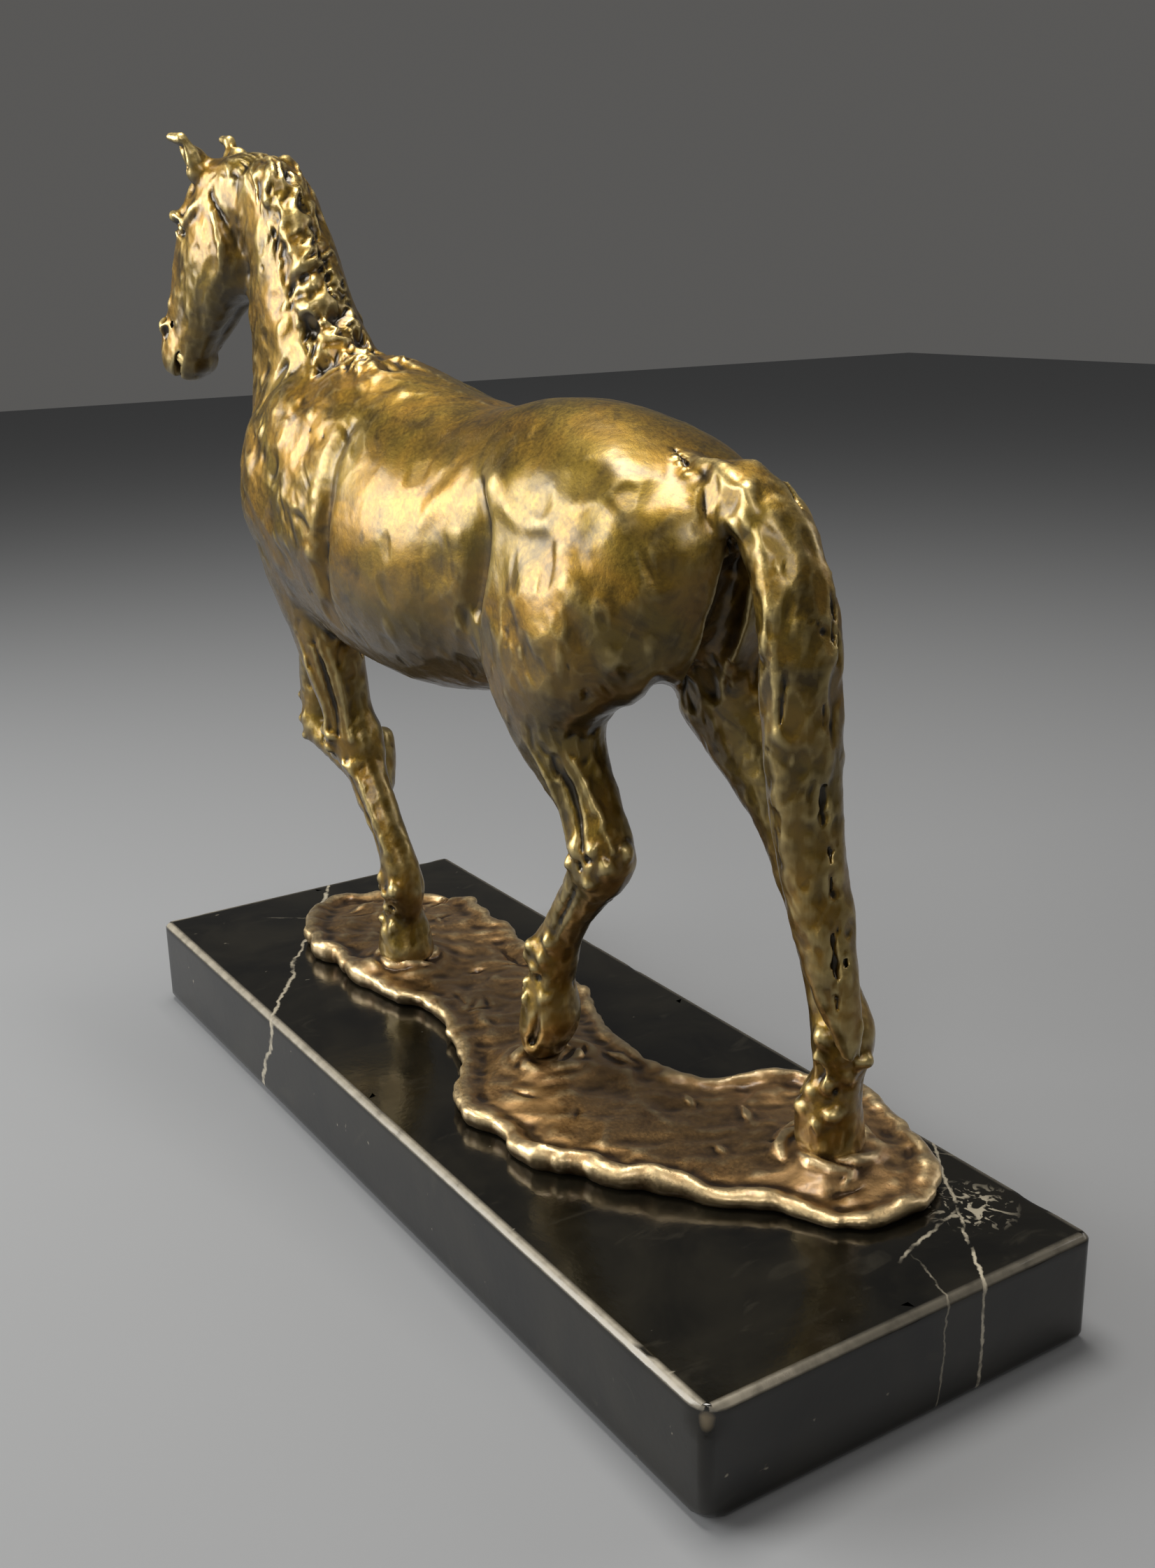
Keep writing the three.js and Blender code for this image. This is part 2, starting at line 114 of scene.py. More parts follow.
class Clay:
    """A block of clay: signed distance in mm on a regular grid, negative inside."""

    def __init__(self, low, high, step):
        self.step = step
        self.first = np.floor(np.asarray(low) / step / 2).astype(int) * 2
        self.shape = tuple(np.ceil(np.asarray(high) / step).astype(int) - self.first + 1)
        self.field = np.full(self.shape, BAND, np.float32)

    def distance_to(self, points, faces):
        grid = vdb.FloatGrid.createLevelSetFromPolygons(
            points, triangles=faces, transform=vdb.createLinearTransform(self.step),
            halfWidth=BAND / self.step)
        values = np.full(self.shape, BAND, np.float32)
        grid.copyToArray(values, ijk=tuple(int(i) for i in self.first))
        return values

    def window(self, low, high):
        a = np.clip(np.floor(np.asarray(low) / self.step).astype(int) - self.first, 0, self.shape)
        b = np.clip(np.ceil(np.asarray(high) / self.step).astype(int) - self.first + 1, 0, self.shape)
        cut = tuple(slice(i, j) for i, j in zip(a, b))
        axes = [((np.arange(i, j) + f) * self.step).astype(np.float32)
                for i, j, f in zip(a, b, self.first)]
        return cut, (axes[0][:, None, None], axes[1][None, :, None], axes[2][None, None, :])

    def apply(self, low, high, shape, soft, dig=False):
        """Adds a shape to the clay, or digs it out, with a soft joint."""
        cut, p = self.window(low, high)
        here = self.field[cut]
        if not here.size:
            return
        there = shape(*p)
        if dig:
            here, there = -here, there
        h = np.clip(0.5 + 0.5 * (here - there) / soft, 0, 1)
        mixed = here + (there - here) * h - soft * h * (1 - h)
        self.field[cut] = -mixed if dig else mixed

    def ball(self, centre, radii, turn=None, soft=2.0, dig=False):
        """An ellipsoid; turn is a 3x3 matrix whose rows are its own axes."""
        centre, radii = np.asarray(centre, float), np.asarray(radii, float)
        turn = np.eye(3) if turn is None else np.asarray(turn, float)
        reach = np.abs(turn.T) @ radii + soft + self.step

        def shape(x, y, z):
            q = [turn[i, 0] * (x - centre[0]) + turn[i, 1] * (y - centre[1]) + turn[i, 2] * (z - centre[2])
                 for i in range(3)]
            k0 = np.sqrt(sum((q[i] / radii[i]) ** 2 for i in range(3))) + 1e-6
            k1 = np.sqrt(sum((q[i] / radii[i] ** 2) ** 2 for i in range(3))) + 1e-6
            return (k0 * (k0 - 1) / k1).astype(np.float32)

        self.apply(centre - reach, centre + reach, shape, soft, dig)

    def stroke(self, points, radii, soft=1.0, dig=False):
        """A tapering roll of clay along points."""
        points = smooth_path(np.asarray(points, float))
        radii = np.interp(np.linspace(0, 1, len(points)), np.linspace(0, 1, len(radii)), radii)
        reach = radii.max() + soft + self.step
        low, high = points.min(0) - reach, points.max(0) + reach

        def shape(x, y, z):
            best = None
            for a, b, ra, rb in zip(points[:-1], points[1:], radii[:-1], radii[1:]):
                ab = b - a
                px, py, pz = x - a[0], y - a[1], z - a[2]
                t = np.clip((px * ab[0] + py * ab[1] + pz * ab[2]) / (ab @ ab), 0, 1)
                qx, qy, qz = px - t * ab[0], py - t * ab[1], pz - t * ab[2]
                square = qx * qx + qy * qy + qz * qz
                d = np.sqrt(square) - (ra + t * (rb - ra))
                best = d if best is None else np.minimum(best, d)
            return best.astype(np.float32)

        self.apply(low, high, shape, soft, dig)

    def outward(self, points):
        """The direction away from the clay at each point. unit() scales all rows by one common length, so
        only a single point gets a vector of length 1; several points get shorter ones."""
        return unit(np.stack([self.sample(self.field, points + axis) - self.sample(self.field,
                                                                                   points - axis)
                              for axis in 0.8 * np.eye(3)], 1))

    def settle(self, points):
        """Points moved towards the surface. A single point reaches it; several at once stop short of it, as
        outward() gives them short steps."""
        for _ in range(SETTLE_ROUNDS):
            points = points - self.outward(points) * np.clip(self.sample(self.field, points), -2, 2)[:,
                                                                                                     None]
        return points

    def press(self, place, across, depth):
        """Thumbs a shallow dish into the surface near place, or a low boss when depth is negative."""
        place = self.settle(np.array([place], float))[0]
        window, (x, y, z) = self.window(place - across, place + across)
        near = ((x - place[0]) ** 2 + (y - place[1]) ** 2 + (z - place[2]) ** 2) / across ** 2
        self.field[window] += depth * np.clip(1 - near, 0, 1) ** 2

    def skin(self):
        """The surface as points in mm and quads."""
        grid = vdb.FloatGrid(BAND)
        grid.copyFromArray(self.field, ijk=tuple(int(i) for i in self.first))
        grid.transform = vdb.createLinearTransform(self.step)
        points, quads = grid.convertToQuads(0.0)
        return points.astype(np.float64), quads.astype(np.int64)

    def sample(self, values, points):
        """values, an array on this grid, at points, by trilinear interpolation."""
        q = points / self.step - self.first
        i = np.clip(np.floor(q).astype(int), 0, np.array(self.shape) - 2)
        f = q - i
        total = 0
        for dx in (0, 1):
            for dy in (0, 1):
                for dz in (0, 1):
                    w = (np.where(dx, f[:, 0], 1 - f[:, 0]) * np.where(dy, f[:, 1], 1 - f[:, 1])
                         * np.where(dz, f[:, 2], 1 - f[:, 2]))
                    total = total + w * values[i[:, 0] + dx, i[:, 1] + dy, i[:, 2] + dz]
        return total


def smooth_path(points, steps=3):
    """More points along a smooth curve through the given ones."""
    if len(points) < 3:
        return points
    ends = np.vstack([2 * points[0] - points[1], points, 2 * points[-1] - points[-2]])
    out = []
    for a, b, c, d in zip(ends[:-3], ends[1:-2], ends[2:-1], ends[3:]):
        for t in np.arange(steps) / steps:
            out.append(0.5 * (2 * b + (c - a) * t + (2 * a - 5 * b + 4 * c - d) * t ** 2
                              + (3 * b - a - 3 * c + d) * t ** 3))
    return np.vstack(out + [points[-1]])


def enclosed(solid):
    """Voxels with solid on both sides along all three axes."""
    hit = np.ones(solid.shape, bool)
    for axis in range(3):
        hit &= np.maximum.accumulate(solid, axis)
        back = np.flip(np.maximum.accumulate(np.flip(solid, axis), axis), axis)
        hit &= back
    return hit


def finer(field):
    """The same field on a grid of half the step."""
    for axis in range(3):
        n = field.shape[axis]
        shape = list(field.shape)
        shape[axis] = 2 * n - 1
        out = np.empty(shape, np.float32)
        even, odd = [slice(None)] * 3, [slice(None)] * 3
        even[axis], odd[axis] = slice(0, None, 2), slice(1, None, 2)
        low, high = [slice(None)] * 3, [slice(None)] * 3
        low[axis], high[axis] = slice(0, n - 1), slice(1, n)
        out[tuple(even)] = field
        out[tuple(odd)] = 0.5 * (field[tuple(low)] + field[tuple(high)])
        field = out
    return field


# ---------------------------------------------------------------- skin of points

lattice = rng.random((LATTICE,) * 3).astype(np.float32)


def noise(points, size):
    """Smooth noise from -1 to 1 with features about size mm across."""
    q = points / size + 200.0
    i = np.floor(q).astype(int)
    f = q - i
    f = f * f * (3 - 2 * f)
    total = 0
    for dx in (0, 1):
        for dy in (0, 1):
            for dz in (0, 1):
                w = (np.where(dx, f[:, 0], 1 - f[:, 0]) * np.where(dy, f[:, 1], 1 - f[:, 1])
                     * np.where(dz, f[:, 2], 1 - f[:, 2]))
                at = (i + (dx, dy, dz)) % LATTICE
                total = total + w * lattice[at[:, 0], at[:, 1], at[:, 2]]
    return 2 * total - 1


def scoops(points, size, seed):
    """Shallow hollows with ridges between them, as fingers leave in clay: 0 in a hollow, 1 on a ridge."""
    warp = np.stack([noise(points + 37 * k + seed, size * 1.3) for k in range(3)], 1)
    q = points / size + 0.35 * warp + 300.0 + seed
    cell = np.floor(q).astype(int)
    best = np.full(len(points), 9.0)
    for dx in (-1, 0, 1):
        for dy in (-1, 0, 1):
            for dz in (-1, 0, 1):
                c = cell + (dx, dy, dz)
                i, j, k = (c % LATTICE).T
                seat = np.stack([lattice[i, j, k], lattice[j, k, i], lattice[k, i, j]], 1)
                best = np.minimum(best, ((c + seat - q) ** 2).sum(1))
    return np.minimum(best / 0.6, 1.6)


def stretched(points, direction, factor):
    """Points squeezed along a direction, so noise sampled there is stretched along it."""
    d = unit(direction)
    return points - (1 - 1 / factor) * (points @ d)[:, None] * d


def step_up(x, low, high):
    t = np.clip((x - low) / (high - low), 0, 1)
    return t * t * (3 - 2 * t)


class Skin:
    """A closed surface of quads whose points are moved about."""

    def __init__(self, points, quads):
        self.points, self.quads = points, quads
        edges = np.sort(np.vstack([quads[:, [i, (i + 1) % 4]] for i in range(4)]), 1)
        self.edges = np.unique(edges, axis=0)
        self.degree = np.bincount(self.edges.ravel(), minlength=len(points)).astype(float)

    def normals(self):
        p, q = self.points, self.quads
        face = np.cross(p[q[:, 2]] - p[q[:, 0]], p[q[:, 3]] - p[q[:, 1]])
        total = np.zeros_like(p)
        for axis in range(3):
            for corner in range(4):
                total[:, axis] += np.bincount(q[:, corner], face[:, axis], len(p))
        return total / np.maximum(np.linalg.norm(total, axis=1), 1e-9)[:, None]

    def averaged(self, values, rounds):
        """Values, one row for each point, averaged with their neighbours."""
        a, b = self.edges.T
        values = values.copy()
        for _ in range(rounds):
            total = np.empty_like(values)
            for axis in range(values.shape[1]):
                total[:, axis] = (np.bincount(a, values[b, axis], len(values))
                                  + np.bincount(b, values[a, axis], len(values)))
            values = 0.5 * values + 0.5 * total / self.degree[:, None]
        return values


class Tools:
    """Finger and knife marks on a skin. Places are in mm and needn't be exactly on it."""

    def __init__(self, skin):
        self.skin = skin
        self.tree = KDTree(len(skin.points))
        for i, point in enumerate(skin.points.tolist()):
            self.tree.insert(point, i)
        self.tree.balance()
        self.normal = skin.averaged(skin.normals(), 2)

    def near(self, place, radius):
        return np.array([hit[1] for hit in self.tree.find_range(tuple(place), radius)], int)

    def spot(self, place, within=4.0):
        """The nearest point's index, or None."""
        _, index, distance = self.tree.find(tuple(place))
        return index if distance is not None and distance < within else None

    def frame_at(self, index, direction):
        normal = unit(self.normal[index])
        along = np.asarray(direction, float)
        along = unit(along - (along @ normal) * normal + 1e-6)
        return normal, along, np.cross(normal, along)

    def dab(self, place, direction, length, width, height, edge=0.45):
        """An oval pellet pressed on, or a dent where height is negative."""
        index = self.spot(place)
        if index is None:
            return
        near = self.near(self.skin.points[index], max(length, width))
        normal, along, across = self.frame_at(index, direction)
        offset = self.skin.points[near] - self.skin.points[index]
        r = np.sqrt((offset @ along / length) ** 2 + (offset @ across / width) ** 2)
        lift = height * (1 - step_up(r, 1 - edge, 1)) * (1 - step_up(np.abs(offset @ normal), 2, 5))
        self.skin.points[near] += lift[:, None] * normal

    def facet(self, place, direction, length, width, sink, tilt=(0, 0)):
        """A flat shaved patch, sink mm deep at its middle."""
        index = self.spot(place)
        if index is None:
            return
        near = self.near(self.skin.points[index], max(length, width))
        normal, along, across = self.frame_at(index, direction)
        plane = unit(normal + tilt[0] * along + tilt[1] * across)
        offset = self.skin.points[near] - self.skin.points[index]
        r = np.sqrt((offset @ along / length) ** 2 + (offset @ across / width) ** 2)
        over = np.maximum(offset @ plane + sink, 0) * (1 - step_up(r, 0.45, 1))
        over *= 1 - step_up(np.abs(offset @ normal), 3, 6)
        self.skin.points[near] -= over[:, None] * plane

    def cut(self, path, width, depth, burr=0.0):
        """A groove along a path, with a raised burr on its edges."""
        path = smooth_path(np.asarray(path, float))
        spots = [self.spot(p, 8.0) for p in path]
        spots = [i for k, i in enumerate(spots) if i is not None and i != (spots[k - 1] if k else None)]
        if len(spots) < 2:
            return
        line = self.skin.points[spots]
        middle = line.mean(0)
        reach = np.linalg.norm(line - middle, axis=1).max() + 3 * width
        near = self.near(middle, reach)
        here = self.skin.points[near]
        best, share = np.full(len(near), 1e9), np.zeros(len(near))
        for k, (a, b) in enumerate(zip(line[:-1], line[1:])):
            ab = b - a
            t = np.clip((here - a) @ ab / max(ab @ ab, 1e-9), 0, 1)
            d = np.linalg.norm(here - a - t[:, None] * ab, axis=1)
            share = np.where(d < best, (k + t) / (len(line) - 1), share)
            best = np.minimum(best, d)
        taper = np.sqrt(np.clip(4 * share * (1 - share), 0.0, 1)) * 0.85 + 0.15
        r = best / width
        change = -depth * taper * np.exp(-r * r) + burr * taper * np.exp(-(r - 1.7) ** 2 * 3)
        self.skin.points[near] += change[:, None] * self.normal[near]


def relief_of(skin):
    """How far each point stands out of its surroundings, at three sizes, in mm."""
    normal = skin.normals()
    rows, held, done = [], skin.points, 0
    for rounds in (4, 20, 80):
        held = skin.averaged(held, rounds - done)
        done = rounds
        rows.append(((skin.points - held) * normal).sum(1))
    return np.stack(rows, 1)


def mesh_object(name, points, faces, normals=None, attributes=None):
    """A smooth-shaded mesh in metres. faces is a list of arrays of equal-sided faces."""
    mesh = bpy.data.meshes.new(name)
    counts = np.concatenate([np.full(len(f), f.shape[1]) for f in faces])
    loops = np.concatenate([f.ravel() for f in faces])
    mesh.vertices.add(len(points))
    mesh.vertices.foreach_set("co", (points * MM).astype(np.float32).ravel())
    mesh.loops.add(len(loops))
    mesh.loops.foreach_set("vertex_index", loops.astype(np.int32))
    mesh.polygons.add(len(counts))
    mesh.polygons.foreach_set("loop_start", np.concatenate([[0], np.cumsum(counts)[:-1]]).astype(np.int32))
    mesh.polygons.foreach_set("use_smooth", np.ones(len(counts), bool))
    mesh.update(calc_edges=True)
    mesh.validate()
    if normals is not None:
        mesh.normals_split_custom_set_from_vertices(normals.astype(np.float32))
    for key, values in (attributes or {}).items():
        data = mesh.attributes.new(key, "FLOAT_VECTOR", "POINT")
        data.data.foreach_set("vector", values.astype(np.float32).ravel())
    made = bpy.data.objects.new(name, mesh)
    bpy.context.scene.collection.objects.link(made)
    return made


def closing_fans(quads):
    """Rings of open edges of some quads, each ring in order."""
    edges = np.vstack([quads[:, [i, (i + 1) % 4]] for i in range(4)])
    n = quads.max() + 1
    forward, back = edges[:, 0] * n + edges[:, 1], edges[:, 1] * n + edges[:, 0]
    open_edges = edges[~np.isin(forward, back)]
    following = {}
    for a, b in open_edges:
        following.setdefault(int(b), []).append(int(a))
    rings = []
    while following:
        start = next(iter(following))
        ring = [start]
        while True:
            nexts = following.get(ring[-1])
            if not nexts:
                break
            step = nexts.pop()
            if not nexts:
                del following[ring[-1]]
            if step == start:
                break
            ring.append(step)
        if len(ring) > 2:
            rings.append(ring)
    return rings


def split(skin, label, names, attributes):
    """One closed mesh for each label; the cuts are closed inside the bronze."""
    normals = skin.normals()
    pieces = []
    for index, name in enumerate(names):
        quads = skin.quads[label == index]
        used, where = np.unique(quads, return_inverse=True)
        quads = where.reshape(-1, 4)
        points, here = skin.points[used], normals[used]
        extra = {k: v[used] for k, v in attributes.items()}
        fans = []
        for ring in closing_fans(quads):
            centre = points[ring].mean(0)
            fans += [(a, b, len(points)) for a, b in zip(ring, ring[1:] + ring[:1])]
            points = np.vstack([points, centre])
            here = np.vstack([here, here[ring].mean(0)])
            extra = {k: np.vstack([v, v[ring].mean(0)]) for k, v in extra.items()}
        faces = [quads] + ([np.array(fans)] if fans else [])
        pieces.append(mesh_object(name, points, faces, here, extra))
    return pieces


# ---------------------------------------------------------------- the horse

def rough_horse():
    """The castings joined, filled and softened, on the coarse grid."""
    shells = {name: cad_triangles(name) for name in CASTINGS}
    everything = np.vstack([points for points, _ in shells.values()])
    clay = Clay(everything.min(0) - 8, everything.max(0) + 8, COARSE)
    distances = np.stack([clay.distance_to(*shell) for shell in shells.values()])
    clay.field = distances.min(0)
    clay.field[enclosed(clay.field < 0)] = -BAND
    clay.field = np.clip(clay.field, -BAND, BAND)
    owner = distances.argmin(0).astype(np.int8)
    return clay, owner


def sculpted_horse():
    clay, owner = rough_horse()
    tight = blur(clay.field, 1.3, COARSE)
    broad = blur(clay.field, 3.2, COARSE)
    body = blur((owner <= 1).astype(np.float32), 5.0, COARSE)
    clay.field = tight + (broad - tight) * body
    shape_muscles(clay)
    fine = Clay((clay.first * COARSE), (clay.first * COARSE), FINE)
    fine.first = clay.first * 2
    fine.field = finer(clay.field)
    fine.shape = fine.field.shape
    shape_details(fine)
    skin = Skin(*fine.skin())
    face = skin.points[skin.quads].mean(1) / COARSE - clay.first
    face = np.clip(np.rint(face).astype(int), 0, np.array(clay.shape) - 1)
    label = owner[face[:, 0], face[:, 1], face[:, 2]]
    return skin, label


def spine(x):
    """Where the horse's median plane is at x: the body bends a little to its left in front."""
    return np.interp(x, (-84, -46, 9, 30, 70, 132), (-10, -9, -4, -1, 5, 11))


def on_side(side, points):
    """Points given as (x, distance from the median plane, z) on one side of the horse."""
    return [(x, spine(x) + side * out, z) for x, out, z in points]


def shape_muscles(clay):
    """Large forms, the same on both sides."""
    for side in (1, -1):
        def put(x, out, z, radii, soft=6.0, dig=False, lean=0.0, yaw=0.0):
            turn = np.array(Matrix.Rotation(math.radians(lean), 3, "Y")
                            @ Matrix.Rotation(math.radians(side * yaw), 3, "Z"))
            clay.ball(on_side(side, [(x, out, z)])[0], radii, turn, soft, dig)

        def roll(points, radii, soft=4.0, dig=False):
            clay.stroke(on_side(side, points), radii, soft, dig)

        put(-50, 15, 186, (27, 13, 27), 9)  # thigh and croup in one mass
        put(-66, 13, 172, (14, 12, 20), 8)  # hamstrings
        put(-79, 8, 191, (9, 9, 13), 7)  # point of the buttock
        put(-26, 24, 203, (6, 5, 6), 6)  # point of the hip
        put(-32, 22, 153, (10, 7, 13), 6)  # stifle
        roll([(-25, 25, 200), (-28, 27, 180), (-26, 26, 163)], (3, 4, 3), 5)  # front edge of the thigh
        roll([(-17, 34.5, 206), (-21, 35.5, 186), (-16, 33.5, 168)], (4, 6, 4), 5, dig=True)  # flank
        put(66, 22, 187, (17, 9.5, 16), 8, yaw=-6)  # triceps
        put(106, 17, 189, (12, 10, 13), 7)  # point of the shoulder
        put(118, 7, 176, (11, 9, 13), 6)  # breast
        put(80, 22, 205, (9, 6, 20), 7, lean=-35)  # blade
        put(58, 24, 168, (6, 6, 6), 4)  # elbow
        put(27, 21, 178, (26, 13, 27), 9)  # barrel
        roll([(47, 26, 214), (47, 33, 204), (48, 34.5, 194), (50.5, 35, 181), (53.5, 33, 169),
              (55, 30, 158)],
             (1.4, 2.2, 2.9, 3.0, 2.6, 1.6), 4.5, dig=True)  # behind the shoulder


# The head's own axes: along the face from the brow, out to the horse's left, forwards from the face.
BROW = np.array([142, 20.5, 275.5])
DOWN_FACE = np.array([0.481, 0.165, -0.861])
TO_LEFT = np.array([-0.325, 0.946, 0.0])
FORWARD = np.array([0.814, 0.280, 0.509])
HEAD_AXES = np.array([DOWN_FACE, TO_LEFT, FORWARD])
CREST = [
    (60, 3.2, 228.5), (70, 5, 231), (78, 8.5, 232.8), (83.5, 10.5, 238.5), (87.3, 11.8, 246),
    (90.5, 12.3, 253.5), (93.5, 12.9, 261), (96.9, 13.8, 269.8), (101, 14.6, 278), (106.5, 15, 285),
    (114, 15.6, 290.5), (124, 16.8, 292.5), (134, 18, 292.5),
]


def in_head(along, out, forward):
    return BROW + along * DOWN_FACE + out * TO_LEFT + forward * FORWARD


def shape_head(clay):
    def ball(along, out, forward, radii, soft=1.5, dig=False, sides=(1, -1)):
        for side in sides if out else (1,):
            clay.ball(in_head(along, side * out, forward), radii, HEAD_AXES, soft, dig)

    def roll(points, radii, soft=1.2, dig=False, sides=(1, -1)):
        for side in sides:
            clay.stroke([in_head(a, side * o, f) for a, o, f in points], radii, soft, dig)

    ball(1, 0, 8, (12, 8.5, 7.5), 3)  # forehead
    ball(8.2, 6.8, 9.5, (4.4, 3.6, 4.6), 2)  # orbit
    ball(9.4, 8.8, 13.4, (2.2, 2.0, 2.9), 1.2)  # brow knob
    ball(-3.2, 9.6, 10.6, (3.6, 2.2, 3.0), 1.4, dig=True)  # hollow above the eye
    ball(11.0, 9.6, 8.8, (2.3, 1.4, 3.0), 1.0, dig=True)  # under the brow
    ball(11.2, 7.9, 9.2, (2.0, 1.9, 2.3), 0.5)  # eye
    roll([(8.6, 10.0, 6.6), (7.4, 10.4, 9.6), (8.4, 10.2, 12.4)], (0.7, 1.1, 0.9), 0.7)  # upper lid
    roll([(13.6, 9.2, 7.0), (14.6, 9.0, 9.4), (13.4, 8.6, 11.8)], (0.6, 0.8, 0.6), 0.7)  # lower lid
    roll([(-3.5, 9.6, 1.5), (2.5, 10.6, 4.0), (8.5, 9.8, 7.0)], (1.6, 2.0, 1.6), 1.6)  # cheek arch
    roll([(15, 8.8, 5.2), (24, 8.2, 2.2), (33, 6.9, 0.2)], (1.7, 1.3, 0.9), 1.4)  # facial crest
    ball(10.5, 7.2, -7.5, (14.5, 4.9, 11.5), 2.5)  # jowl
    roll([(-4, 10.4, -4), (0, 11.3, -8.5), (5, 11.4, -12.5), (12, 10.6, -14.5), (19, 9.4, -12)],
         (0.8, 1.7, 2.2, 1.8, 0.8), 1.6)  # its raised edge
    roll([(-6.5, 11.0, -1.3), (-2.6, 11.6, -10.3), (1.6, 12.0, -18.2), (7.6, 11.4, -23.6), (16, 9.6, -25)],
         (0.4, 1.2, 2.6, 3.4, 3.0), 2.8, dig=True)  # behind the jowl
    for side in (1, -1):
        clay.press(in_head(30, side * 7, -8), 5.5, 1.3)  # under the jowl
    roll([(20, 4.4, -13.5), (30, 3.5, -10.6), (44, 2.8, -7)], (4.2, 3.5, 3.0), 2.2)  # jaw bones
    roll([(4, 0, 14.6), (18, 0, 13.4), (32, 0, 9.6), (42, 0, 8.0)], (2.6, 2.4, 2.0, 2.2), 2.0, sides=(1,))
    for side in (1, -1):
        clay.press(in_head(24, side * 6.5, 8), 6.5, 0.8)  # beside the nasal bone
        clay.press(in_head(31, side * 6.0, 8), 3.5, 0.8)  # above the muzzle
    ball(36.8, 5.6, 6.4, (3.0, 2.6, 2.8), 1.2)
    ball(46.2, 5.4, 7.0, (3.6, 2.8, 4.0), 1.4)  # nostril wing
    ball(47.6, 8.0, 5.6, (2.8, 1.8, 1.9), 0.8, dig=True)  # nostril
    ball(53.2, 3.2, 3.0, (4.4, 3.8, 4.2), 1.5)  # upper lip
    ball(51.0, 5.4, 4.6, (2.4, 1.6, 2.4), 0.8)
    ball(51.5, 2.6, -7.2, (5.0, 3.6, 3.0), 1.4)  # lower lip
    ball(50.0, 0, -8.2, (4.2, 3.8, 3.0), 1.6)  # chin
    for out in (6.4, 3.6, 0.8):
        ball(53.4, out, -4.2, (7.4, 2.6, 1.3), 0.6, dig=True)  # the parted lips
    ball(63.5, 0, -4, (4.6, 12, 14), 1.0, dig=True)  # the muzzle ends square
    ball(36, 7.0, 0.8, (3.0, 1.6, 2.4), 1.0)
    ball(38.6, 5.8, -6.6, (3.4, 1.7, 2.6), 1.2)
    ball(45, 5.8, -1.4, (2.6, 1.7, 2.0), 0.9)
    ball(42.2, 6.6, 2.6, (1.8, 1.4, 1.8), 0.7, dig=True)
    ball(34, 7.2, -3.2, (1.8, 1.4, 2.4), 0.8, dig=True)
    # ears
    clay.ball((146.5, 12.5, 300), (6, 6, 6), soft=1.0, dig=True)
    clay.ball((149, 35.5, 301), (5, 5, 3.2), soft=0.8, dig=True)
    for side, lean in ((1, 0.0), (-1, 3.0)):
        base = in_head(-9, side * (8.2 - lean), 9.5)
        neck = in_head(-14.2, side * (11.2 - 1.6 * lean), 12.8)
        bulb = in_head(-16.0, side * (12.8 - 2 * lean), 15.2)
        tip = in_head(-14.6, side * (13.6 - 2 * lean), 19.2)
        clay.stroke([base, neck, bulb], (3.9, 2.0, 1.9), 1.2)
        clay.stroke([bulb, tip], (2.0, 1.55), 0.8)
        hollow = [base + 1.6 * FORWARD + side * 2.6 * TO_LEFT, neck + 1.3 * FORWARD + side * 1.0 * TO_LEFT]
        clay.stroke(hollow, (1.3, 0.7), 0.5, dig=True)
    ball(-7.5, 8.4, 8.0, (3.4, 2.0, 3.4), 1.5)


def down_neck(share, out):
    """A point near the crest, share of the way from withers to poll, out mm down its left side (or right)."""
    line = smooth_path(np.array(CREST, float), LINE)
    at = np.clip(share, 0, 1) * (len(line) - 1)
    j = min(int(at), len(line) - 2)
    run = unit(line[j] - line[j + 1])  # towards the withers
    left = unit(np.cross(run, (0, 0, 1)))
    left = left if left[1] > 0 else -left
    up = unit(np.cross(run, left))
    up = up if up[2] > 0 else -up
    round_neck = 14.0
    turn = out / round_neck
    return (line[j] + (at - j) * (line[j + 1] - line[j])
            + round_neck * (math.sin(turn) * left + (math.cos(turn) - 1) * up)), run, left, up


def shape_mane(clay):
    """The mane lies over on the left: long strands at the poll, short leafy clumps towards the withers."""
    for k in range(24):  # a padded band under the strands
        share = 0.12 + 0.66 * k / 23
        width = np.interp(share, (0, 0.25, 0.6, 0.9), (9, 7.5, 7.0, 6.0))
        place, _, _, up = down_neck(share, width * 0.5)
        clay.ball(clay.settle(place[None])[0] - 2.6 * up, (4.6, width * 0.5, 3.4), soft=3.5)
    for _ in range(110):  # clumps and hollows
        share = rng.uniform(0.0, 0.85)
        place = down_neck(share, rng.uniform(-4, 11))[0]
        clay.press(place, rng.uniform(2.4, 4.2), rng.choice((1, -1)) * rng.uniform(0.4, 0.9))


